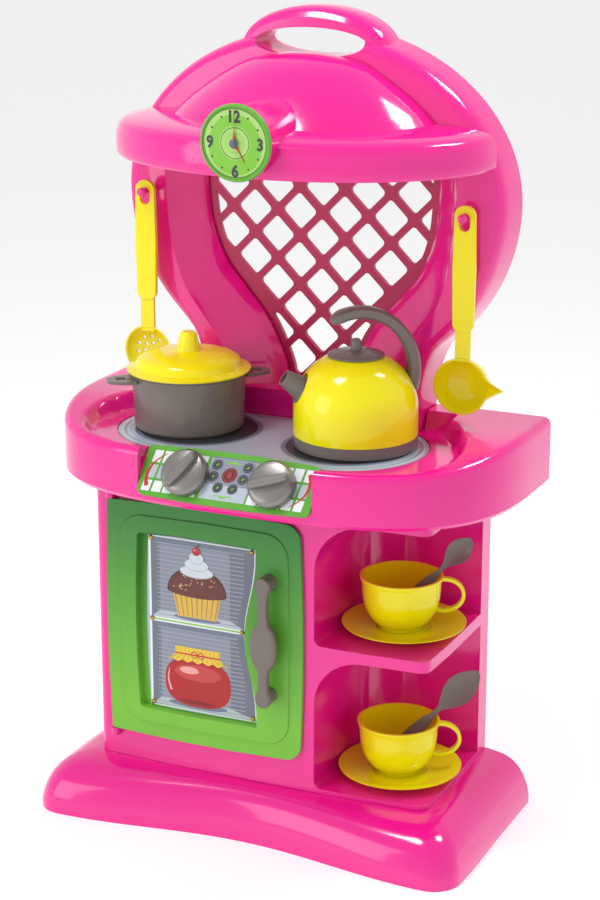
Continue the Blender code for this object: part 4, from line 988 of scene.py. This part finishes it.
def spoon(level, seat, rim_way, foot, bowl):
    """A spoon leaning in the cup: its handle end low inside, its bowl up beyond the rim."""
    low = seat + Vector(foot)
    rim = seat + Vector((0.0405 * math.cos(rim_way), 0.0405 * math.sin(rim_way), 0.0618))
    axis = (rim - low).normalized()
    seen = Vector((0.40, -0.87, 0.29))
    normal = (seen - axis * seen.dot(axis)).normalized()
    flat = axis.cross(normal).normalized()
    neck = (rim - low).length
    half, long = bowl
    end = neck + 0.007 + long
    stations = [(0.0, 0.0050, 0), (0.004, 0.0058, 0), (neck - 0.013, 0.0052, 0), (neck - 0.008,
            0.0030, 0),
                (neck + 0.004, 0.0028, 0.0004)]
    for k in range(1, 8):
        t = k / 8
        stations.append((neck + 0.007 + long * t, half * math.sin(math.pi * t) ** 0.62,
                0.0045 * math.sin(math.pi * t)))
    stations.append((end, half * 0.18, 0.0004))
    rings = []
    for s, wide, dip in stations:
        middle = low + axis * s
        top, under = [], []
        for u in (-1, -0.55, 0, 0.55, 1):
            sag = -dip * (1 - u * u)
            top.append(middle + flat * wide * u + normal * (sag + 0.0009))
            under.append(middle + flat * wide * u + normal * (sag - 0.0009))
        rings.append(top + under[::-1])
    return loft("spoon_" + level, rings, "grey")


# ---- all shapes ----------------------------------------------------------------------
def shapes():
    plinth()
    cabinet()
    back_panel()
    worktop()
    hob_plate()
    control_panel()
    knob(-1, "knob_left", math.radians(58))
    knob(1, "knob_right", math.radians(20))
    backboard()
    lattice()
    hood()
    clock()
    pegs()
    skimmer()
    ladle()
    door_handle(door())
    hinges()
    pot()
    kettle()
    cup_set("upper", -0.0032, math.radians(25), (-0.004, -0.006, 0.0125), (0.0120, 0.036))
    cup_set("lower", -0.0020, math.radians(35), (-0.011, -0.008, 0.0125), (0.0155, 0.052))


# ---- looks ---------------------------------------------------------------------------
def plastic(name, colour, rough=0.28, coat=0.3, metal=0.0, radius=0.0009, grain=0.05, lit=None):
    """Moulded plastic: softened edges, uneven gloss and, with lit, another colour lower down; on the
    door this height ramp is partly its own two-tone green and partly painted shade at the top.
    """
    made = bpy.data.materials.new(name)
    made.use_nodes = True
    tree = made.node_tree
    nodes, links = tree.nodes, tree.links
    shader = nodes["Principled BSDF"]
    for socket, value in (("Base Color", (*colour, 1)), ("Roughness", rough), ("Metallic", metal),
                          ("Coat Weight", coat), ("Coat Roughness", 0.05), ("IOR", 1.49)):
        shader.inputs[socket].default_value = value
    place = nodes.new("ShaderNodeTexCoord")
    if radius:
        soft = nodes.new("ShaderNodeBevel")
        soft.samples = 4
        soft.inputs["Radius"].default_value = radius
        links.new(soft.outputs["Normal"], shader.inputs["Normal"])
    if grain:
        cloud = nodes.new("ShaderNodeTexNoise")
        cloud.inputs["Scale"].default_value = 26
        cloud.inputs["Detail"].default_value = 5
        spread = nodes.new("ShaderNodeMapRange")
        spread.inputs["To Min"].default_value = rough - grain
        spread.inputs["To Max"].default_value = rough + grain
        links.new(place.outputs["Object"], cloud.inputs["Vector"])
        links.new(cloud.outputs["Fac"], spread.inputs["Value"])
        links.new(spread.outputs["Result"], shader.inputs["Roughness"])
    # Base colour ramped by height: on the door the darker top is partly painted shade under the
    # worktop and partly the door's own colour.
    if lit:
        low, high, tint = lit
        split = nodes.new("ShaderNodeSeparateXYZ")
        height = nodes.new("ShaderNodeMapRange")
        height.inputs["From Min"].default_value, height.inputs["From Max"].default_value = low, high
        blend = nodes.new("ShaderNodeMix")
        blend.data_type = "RGBA"
        blend.inputs["A"].default_value, blend.inputs["B"].default_value = (*tint, 1), (*colour, 1)
        links.new(place.outputs["Object"], split.inputs["Vector"])
        links.new(split.outputs["Z"], height.inputs["Value"])
        links.new(height.outputs["Result"], blend.inputs["Factor"])
        links.new(blend.outputs["Result"], shader.inputs["Base Color"])
    return made


INKS = {}
COLOURS = {
    "white": (0.80, 0.84, 0.86), "pale": (0.46, 0.52, 0.60), "slate": (0.16, 0.19, 0.26),
    "night": (0.030, 0.035, 0.045),
    "silver": (0.25, 0.27, 0.34), "rack": (0.34, 0.36, 0.44), "side": (0.16, 0.17, 0.23),
    "lime": (0.22, 0.56, 0.05),
    "leaf": (0.10, 0.36, 0.04), "dial": (0.19, 0.50, 0.03), "mint": (0.36, 0.60, 0.15),
    "pine": (0.03, 0.13, 0.02),
    "red": (0.55, 0.012, 0.015), "wine": (0.14, 0.012, 0.012), "cherry": (0.45, 0.03, 0.05),
    "cream": (0.62, 0.68, 0.74),
    "icing": (0.135, 0.028, 0.020), "cocoa": (0.055, 0.015, 0.010), "dots": (0.70, 0.45, 0.25),
    "cup": (0.70, 0.45, 0.08), "pleat": (0.42, 0.22, 0.03), "cloth": (0.80, 0.55, 0.05),
    "fold": (0.50, 0.28, 0.02),
    "jam": (0.42, 0.008, 0.010), "glass": (0.55, 0.05, 0.05), "shine": (0.80, 0.36, 0.34),
    "deep": (0.22, 0.004, 0.008)}


def ink(name):
    if name not in INKS:
        INKS[name] = plastic("ink_" + name, COLOURS[name], 0.38, 0.1, radius=0, grain=0.03)
    return INKS[name]


def smooth(points, steps=5):
    return refined(points, steps, True, 100)


def oval(x, z, across, up, turn=0.0, count=40):
    c, s = math.cos(turn), math.sin(turn)
    return [(x + across * math.cos(a) * c - up * math.sin(a) * s,
            z + across * math.cos(a) * s + up * math.sin(a) * c)
            for a in (2 * math.pi * k / count for k in range(count))]


def square(x0, z0, x1, z1):
    return [(x0, z0), (x1, z0), (x1, z1), (x0, z1)]


def stroke(points, wide, thin=None, steps=6):
    """A drawn line, which can taper to another width."""
    line = refined(points, steps, False, 120) if len(points) > 2 else np.array(points, float)
    way = np.gradient(line, axis=0)
    side = np.stack([-way[:, 1], way[:, 0]], 1) / np.maximum(np.linalg.norm(way, axis=1,
            keepdims=True), 1e-9)
    half = np.linspace(wide, wide if thin is None else thin, len(line))[:, None] / 2
    return np.concatenate([line + side * half, (line - side * half)[::-1]])


def ring(x, z, outer, inner, count=72):
    """A ring as four quarter bands."""
    bands = []
    for q in range(4):
        a = [math.pi / 2 * (q + k * 4 / count) for k in range(count // 4 + 1)]
        bands.append([(x + outer * math.cos(t), z + outer * math.sin(t)) for t in a]
                     + [(x + inner * math.cos(t), z + inner * math.sin(t)) for t in reversed(a)])
    return bands


def sheet(name, shapes, place, body, step=0.00005):
    """Printed shapes, each (layer, ink, outline in mm), as thin layers on a surface."""
    bm, inks = bmesh.new(), []
    for layer, colour, outline in shapes:
        if colour not in inks:
            inks.append(colour)
        face = bm.faces.new([bm.verts.new(place(u / 1000, v / 1000, (layer + 1) * step)) for u,
                v in outline])
        face.material_index = inks.index(colour)
        face.normal_update()
        if face.normal.dot(place(0, 0, 1) - place(0, 0, 0)) < 0:
            face.normal_flip()
    mesh = bpy.data.meshes.new(name)
    bm.to_mesh(mesh)
    bm.free()
    for colour in inks:
        mesh.materials.append(ink(colour))
    made = bpy.data.objects.new(name, mesh)
    bpy.context.scene.collection.objects.link(made)
    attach(made, body)
    return made


def numeral(text, u, v, height, place, body, colour="night", bold=0.0):
    """A figure of a dial, as a flat mesh."""
    curve = bpy.data.curves.new("figure", "FONT")
    curve.body, curve.align_x, curve.align_y, curve.size = text, "CENTER", "CENTER", height * 1.38
    curve.offset, curve.resolution_u = bold, 6
    drawn = bpy.data.objects.new("figure", curve)
    bpy.context.scene.collection.objects.link(drawn)
    bpy.context.view_layer.update()
    mesh = bpy.data.meshes.new_from_object(drawn.evaluated_get(bpy.context.evaluated_depsgraph_get()))
    bpy.data.objects.remove(drawn, do_unlink=True)
    xs, ys = [p.co.x for p in mesh.vertices], [p.co.y for p in mesh.vertices]
    mx, my = (min(xs) + max(xs)) / 2, (min(ys) + max(ys)) / 2
    for p in mesh.vertices:
        p.co = place(u + (p.co.x - mx) * 0.92, v + p.co.y - my, 0.0003)
    mesh.materials.clear()
    mesh.materials.append(ink(colour))
    made = bpy.data.objects.new("figure_" + text, mesh)
    bpy.context.scene.collection.objects.link(made)
    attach(made, body)


# ---- printed labels ------------------------------------------------------------------
def cake(add_shape, mid, foot):
    """A plain cake: pleated cup, dome of icing, three rounds of cream and a cherry."""
    rim = foot + 27
    add_shape(3, "slate", oval(mid, foot - 0.5, 27, 3.2))
    add_shape(4, "cup", [(mid - 28, rim), (mid - 22, foot), (mid + 22, foot), (mid + 28, rim)])
    for k in range(-4, 5):
        add_shape(5, "pleat", stroke([(mid + 6.4 * k, rim), (mid + 5.1 * k, foot + 1)], 1.5, 0.9))
    for layer, colour, across, up in ((6, "cocoa", 34, 27), (7, "icing", 33, 25)):
        add_shape(layer, colour,
                [(mid + across * math.cos(a), rim + 1 + (up if a < math.pi else 6) * math.sin(a))
                                  for a in (math.pi * k / 24 for k in range(48))])
    rng = np.random.default_rng(4)
    for _ in range(30):
        a, r = rng.uniform(0.1, 3.04), rng.uniform(0.35, 0.85)
        add_shape(8, "dots", oval(mid + 33 * r * math.cos(a), rim + 1 + 25 * r * math.sin(a), 0.75,
                0.75, count=8))
    for k in range(3):
        x, z = 19 - 5.5 * k, rim + 24 + 7.5 * k
        add_shape(9 + 2 * k, "pale", oval(mid, z - 0.8, x, 6.5))
        add_shape(10 + 2 * k, "cream", oval(mid, z, x, 6.0))
    add_shape(15, "cherry", oval(mid, rim + 46, 5, 4.6))
    add_shape(16, "shine", oval(mid - 1.8, rim + 47.4, 1.3, 0.8, 0.3, 14))
    add_shape(16, "night", stroke([(mid, rim + 49), (mid + 1.5, rim + 52), (mid + 5, rim + 54)],
            0.9))


def jar(add_shape, mid, level):
    """A plain round jar of jam under a cloth cap, with a band and a bow."""
    add_shape(3, "slate", oval(mid, level - 25, 34, 4.0))
    turn = [2 * math.pi * k / 64 for k in range(64)]
    add_shape(4, "jam", [(mid + 38 * math.copysign(abs(math.cos(a)) ** 0.75, math.cos(a)),
                          level + 27 * math.copysign(abs(math.sin(a)) ** 0.75,
                          math.sin(a))) for a in turn])
    add_shape(5, "glass", oval(mid, level + 11, 27, 9))
    add_shape(5, "deep", oval(mid, level - 22, 20, 2.2))
    add_shape(6, "shine", oval(mid - 10, level + 13, 11, 4))
    add_shape(6, "shine",
            stroke([(mid - 33, level + 12), (mid - 34.5, level), (mid - 31, level - 12)], 1.0, 2.6))
    top = level + 31
    hem = [(mid - 35 + 70 * k / 12, top - 9.5 + 2.4 * (k % 2)) for k in range(13)]
    add_shape(7, "cloth", [(mid - 25, top), *map(tuple, refined(hem, 4, False, 120)), (mid + 25,
            top)])
    add_shape(7, "cloth", square(mid - 26, top, mid + 26, top + 7.5))
    for k in range(-5, 6):
        add_shape(8, "fold", stroke([(mid + 4.6 * k, top - 1.5), (mid + 6.2 * k, top - 7)], 0.5,
                1.1))
        add_shape(8, "fold", stroke([(mid + 4.8 * k, top + 1.5), (mid + 4.8 * k, top + 6)], 0.5,
                0.9))
    add_shape(9, "red", square(mid - 26, top - 1, mid + 26, top + 0.6))
    for x in (-3.9, 3.9):
        for band in ring(mid + x, top, 3.8, 2.8, 32):
            add_shape(10, "cherry", band)


def door_print():
    """Two baking shelves seen behind the door's window, with a cake above and a jar below."""
    out = []

    def add_shape(layer, colour, outline):
        out.append((layer, colour, outline))
    card = [(x * 1000, z * 1000) for x, z in waisted(-0.1224, 0.0004, 0.1189, 0.3071, 0.002,
            0.0125)]
    add_shape(0, "silver", card)
    waist = [(x, z) for x, z in card if x > -20]

    def right(z):
        return float(np.interp(z, [p[1] for p in waist], [p[0] for p in waist]))
    for low, high in ((121.0, 213.2), (218.2, 305.6)):
        mid = (low + high) / 2
        add_shape(1, "side", [(-119.5, low), (-109.5, low + 8), (-109.5, high - 7), (-119.5, high)])
        add_shape(1, "side",
                [(-29, low + 8)] + [(right(z) - 1.6, z) for z in np.linspace(low + 1, high - 1, 12)]
                  + [(-29, high - 7)])
        add_shape(1, "pale", [(-119.5, low), (right(low) - 1.6, low), (-29, low + 8), (-109.5,
                low + 8)])
        add_shape(1, "slate", [(-109.5, high - 7), (-29, high - 7), (right(high) - 1.6, high),
                (-119.5, high)])
        z = low + 3.0
        while z < high - 3:
            add_shape(2, "rack", square(-113, z, min(right(z), -4) - 9, z + 1.0))
            z += 4.6
    edge = [(right(z), z) for z in np.linspace(120, 306, 24)]
    add_shape(3, "white", edge + [(x - 1.5, z) for x, z in reversed(edge)])
    add_shape(3, "white", square(-122, 118.9, right(119), 120.4))
    add_shape(3, "white", square(-122.4, 119, -119.8, 306))
    add_shape(3, "white", square(-121, 306.0, right(306), 307.0))
    for colour, z0, z1 in (("white", 213.2, 214.8), ("lime", 214.8, 216.6), ("white", 216.6,
            218.2)):
        add_shape(3, colour, square(-120, z0, right(216), z1))
    cake(add_shape, -67, 223)
    jar(add_shape, -67, 151)
    front = HINGE_DEPTH + DOOR["thick"] / 2 - 0.0012 - 0.0068
    sheet("door_print", out, lambda u, v, w: at(u, front + w, v), "door", 0.00004)


def clock_print():
    out = [(0, "dial", oval(0, 0, 33.6, 33.6, count=64))]
    # Light mint band, which the offset dial disc below leaves as a crescent over the upper dial: a
    # painted sheen.
    out += [(1, "mint", b) for b in ring(0, 0, 31.9, 27.0)]
    out += [(1, "pine", b) for b in ring(0, 0, 33.0, 32.2)]
    out += [(2, "dial", oval(0, -5.5, 27.5, 25.0, count=48))]
    out += [(3, "mint", oval(0, 0, 16.2, 16.2)), (4, "dial", oval(0, 0, 15.4, 15.4)), (5, "pine",
            oval(0, 0, 15.0, 15.0)),
            (6, "mint", oval(0, 0, 14.3, 14.3)), (7, "dial", oval(0, 0, 9.6, 9.6)), (8, "mint",
                    oval(0, 0, 9.0, 9.0))]
    for k in range(12):
        if k % 3:
            a = math.radians(30 * k)
            out.append((4, "night", oval(27.6 * math.sin(a), 27.6 * math.cos(a), 1.1, 1.1,
                    count=12)))
    z, front = CLOCK["z"], CLOCK["front"] - 0.0010

    def place(u, v, w):
        return at(u, front + w, z + v)
    sheet("clock_print", out, place, "kitchen", 0.00003)
    for text, u, v in (("12", 0, 0.0252), ("3", 0.0262, 0), ("6", 0, -0.0262), ("9", -0.0262, 0)):
        numeral(text, u, v, 0.0112, place, "kitchen", bold=0.0006)


def panel_print():
    """Squares, arcs and round buttons of the control panel."""
    out = []

    def add_shape(layer, colour, outline):
        out.append((layer, colour, [(u + 0.12 * v, v) for u, v in outline]))
    for side in (-1, 1):
        for a, b in ((28, 39), (41, 52), (54, 64), (66, 76), (78.5, 87.5)):
            for i, (low, high) in enumerate(((-22, -10.5), (-8, 6), (8.5, 21.5))):
                x0, x1 = sorted((side * a, side * b))
                add_shape(0, "white" if i != 1 else "pale", square(x0, low, x1, high))
                add_shape(1, "leaf", square(x0 - 0.9, low - 1.3, x1 + 0.9, low - 0.8))
            add_shape(1, "leaf", square(side * b + side * 0.8 - 0.35, -22,
                    side * b + side * 0.8 + 0.35, 21.5))
        arc = [(83, 17), (86.5, 8), (86, -3), (81, -12), (73, -19)]
        add_shape(3, "red", stroke([(side * u, side * v) for u, v in arc], 4.4, 0.5))
    add_shape(1, "pale", square(-24, -22, 26, 22.5))
    add_shape(2, "silver", square(-22.5, -6, 24.5, 20.8))
    add_shape(2, "slate", square(-24, 21.2, 26, 22.6))
    for u, v in ((-16, 14.4), (-16, 2), (-7, -9), (9, -8.7), (17, 15), (16, 2.5)):
        add_shape(3, "night", oval(u, v, 5.4, 5.4))
        add_shape(4, "side", oval(u, v, 4.3, 4.3))
        add_shape(5, "night", oval(u, v, 3.7, 3.7))
        add_shape(6, "lime", oval(u, v, 1.9, 0.7, 0.5, 14))
        add_shape(6, "lime", oval(u, v, 0.7, 1.7, 0.2, 14))
    add_shape(3, "wine", oval(0.6, 5, 7.9, 7.9))
    add_shape(4, "cherry", oval(0.6, 5, 6.6, 6.6))
    add_shape(5, "wine", oval(0.6, 5, 6.0, 6.0))
    add_shape(6, "cherry", oval(0.6, 5, 2.2, 3.2))
    for v, sign in ((18.4, -1), (-18.4, 1)):
        add_shape(3, "lime", oval(1, v, 2.4, 1.7, count=20))
        for way in (-1, 1):
            add_shape(3, "lime",
                    stroke([(1 + way * 2, v), (1 + way * 6, v + sign * 1.6), (1 + way * 11,
                    v - sign * 0.6)], 1.8, 0.4))
    frame_at = panel_matrix()
    sheet("panel_print", out, lambda u, v, w: frame_at @ Vector((u, v, PANEL["thick"] + w)),
          "kitchen")


def hob_print():
    """Rings of the two hobs on the silver plate."""
    out = []
    for side in (-1, 1):
        x = (HOB_MID + side * HOB_X) * 1000
        for layer, colour, outer, inner in ((1, "white", 79.4, 78.5), (1, "slate", 76.5, 75.6), (2,
                "white", 73.0, 72.4),
                                            (2, "slate", 66.0, 61.0)):
            if outer > 71:
                keep = [b for i,
                b in enumerate(ring(0, 0, outer, inner)) if (i in (1, 2)) == (side < 0)]
            else:
                keep = ring(0, 0, outer, inner)
            out += [(layer, colour, [(x + u, v) for u, v in b]) for b in keep]
        out.append((2, "night", oval(x, 0, 61, 61, count=64)))
    for v in (60, -60):
        out.append((1, "pale", stroke([(-40, v), (0, v * 0.93), (40, v)], 1.0, 1.0)))
    middle = REAR - HOB_Y
    sheet("hob_print", [(a, b, [(u, max(min(v, 71), -78)) for u, v in c]) for a, b, c in out],
          lambda u, v, w: Vector((u, middle + v, WELL + 0.0018 + w)), "kitchen", 0.00002)


# ---- dressing ------------------------------------------------------------------------
def dress():
    """Gives every finer piece its finish and body, in place of its plain node."""
    body_of = {node: name for name, nodes in BODIES.items() for node in nodes}
    for name, thing in list(MADE.items()):
        if name not in frame["nodes"]:
            continue
        finish = next((look for look, names in DRESS.items() if name.startswith(names)), "pink")
        thing.data.materials.clear()
        thing.data.materials.append(LOOKS[finish])
        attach(thing, body_of[name])
        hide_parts(name)


# ---- build ---------------------------------------------------------------------------
BODIES = frame["record"]["behaviour"]["bodies"]
# Dark green top and lime foot of the door: the darker top is partly painted shade and partly the
# door's own two-tone green.
GREEN, LIME = (0.030, 0.21, 0.030), (0.17, 0.50, 0.035)
LOOKS = {
    "pink": plastic("pink_gloss", (0.84, 0.008, 0.275), 0.15, 0.5, grain=0.04),
    # Darker copy of the pink for the lattice: painted shade from the hood above it, on the same pink
    # plastic.
    "shade": plastic("pink_grille_painted_shade", (0.45, 0.005, 0.09), 0.36, 0.0, grain=0.04),
    "door": plastic("green_door", GREEN, 0.33, 0.0, grain=0.04, lit=(0.12, 0.33, LIME)),
    "green": plastic("green_gloss", (0.11, 0.40, 0.03), 0.3, 0.0, grain=0.03),
    "yellow": plastic("yellow_gloss", (0.87, 0.78, 0.003), 0.13, 0.0, grain=0.03),
    "grey": plastic("grey_gloss", (0.171, 0.141, 0.127), 0.26, 0.0, grain=0.04),
    "silver": plastic("knob_silver", (0.26, 0.245, 0.235), 0.30, 0.0, metal=0.7, grain=0.03),
    "print": plastic("label_silver", (0.40, 0.48, 0.58), 0.30, 0.4, radius=0, grain=0.04),
    "red": plastic("hand_red", (0.55, 0.02, 0.01), 0.35, 0.2, radius=0.0003, grain=0),
    "hub": plastic("hub_slate", (0.08, 0.09, 0.13), 0.2, 0.6, radius=0.0005, grain=0),
    "steel": plastic("pin_steel", (0.45, 0.45, 0.47), 0.28, 0, metal=1.0, radius=0.0003, grain=0),
    "brass": plastic("rivet_brass", (0.50, 0.33, 0.07), 0.25, 0, metal=1.0, radius=0.0003, grain=0)}
DRESS = {
    # The lattice takes the darker pink, which is painted shade.
    "shade": ("lattice",), "door": ("oven_door",), "green": ("control_panel", "clock_bezel",
            "clock_dial"),
    "yellow": ("kettle_body", "pot_lid", "cup_", "saucer_", "skimmer", "ladle"),
    "grey": ("pot", "kettle_", "spoon_", "door_handle"), "silver": ("knob_",),
    "print": ("hob_plate", "door_picture"),
    "red": ("clock_hour", "clock_minute"), "hub": ("clock_hub",), "steel": ("hinge_pin",
            "back_screw"),
    "brass": ("door_rivet",)}

shapes()
dress()
door_print()
clock_print()
panel_print()
hob_print()

# ---- setting -------------------------------------------------------------------------
bpy.ops.mesh.primitive_plane_add(size=60, location=(0, 0, 0))
floor = bpy.context.object
floor.name = "floor"
pale = plastic("floor_pale", (0.86, 0.86, 0.86), 0.6, 0, radius=0, grain=0)
floor.data.materials.append(pale)
shader = pale.node_tree.nodes["Principled BSDF"]
shader.inputs["Emission Color"].default_value = (1, 1, 1, 1)
shader.inputs["Emission Strength"].default_value = 0.32
floor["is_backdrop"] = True


def softbox(name, spot, aim, size, power):
    lamp = bpy.data.lights.new(name, "AREA")
    lamp.shape, lamp.size, lamp.size_y = "RECTANGLE", size[0], size[1]
    lamp.energy = power
    thing = bpy.data.objects.new(name, lamp)
    thing.location = spot
    thing.rotation_euler = (Vector(aim) - Vector(spot)).to_track_quat("-Z", "Y").to_euler()
    bpy.context.scene.collection.objects.link(thing)


softbox("key", (-0.43, -0.55, 1.95), (0.05, 0, 0.45), (0.42, 0.42), 11)
softbox("rear", (0.76, 0.66, 1.95), (0.05, 0, 0.45), (0.42, 0.42), 12)
softbox("fill", (-1.7, -2.0, 1.0), (0, 0, 0.4), (1.4, 1.6), 14)

world = bpy.data.worlds.new("studio")
bpy.context.scene.world = world
world.use_nodes = True
sky = world.node_tree
sky.nodes["Background"].inputs["Color"].default_value = (1, 1, 1, 1)
direction = sky.nodes.new("ShaderNodeTexCoord")
parts = sky.nodes.new("ShaderNodeSeparateXYZ")
fade = sky.nodes.new("ShaderNodeMapRange")
fade.inputs["To Min"].default_value, fade.inputs["To Max"].default_value = 0.95, 0.45
sky.links.new(direction.outputs["Generated"], parts.inputs["Vector"])
sky.links.new(parts.outputs["Z"], fade.inputs["Value"])
sky.links.new(fade.outputs["Result"], sky.nodes["Background"].inputs["Strength"])
bpy.context.scene.view_settings.view_transform = "Standard"

target = Vector((0.0233, 0.0047, 0.400))
camera_data = bpy.data.cameras.new("camera")
camera_data.lens, camera_data.sensor_width, camera_data.sensor_fit = 90.03, 36, "AUTO"
camera_data.dof.use_dof = False
camera = bpy.data.objects.new("camera", camera_data)
camera.location = (0.9329, -1.9820, 1.0555)
camera.rotation_euler = (target - camera.location).to_track_quat("-Z", "Y").to_euler()
bpy.context.scene.collection.objects.link(camera)
bpy.context.scene.camera = camera


def corners(pair):
    return [[float(v) for v in corner] for corner in pair]


{"cad": corners(CAD_BOX), "visual": corners(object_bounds())}
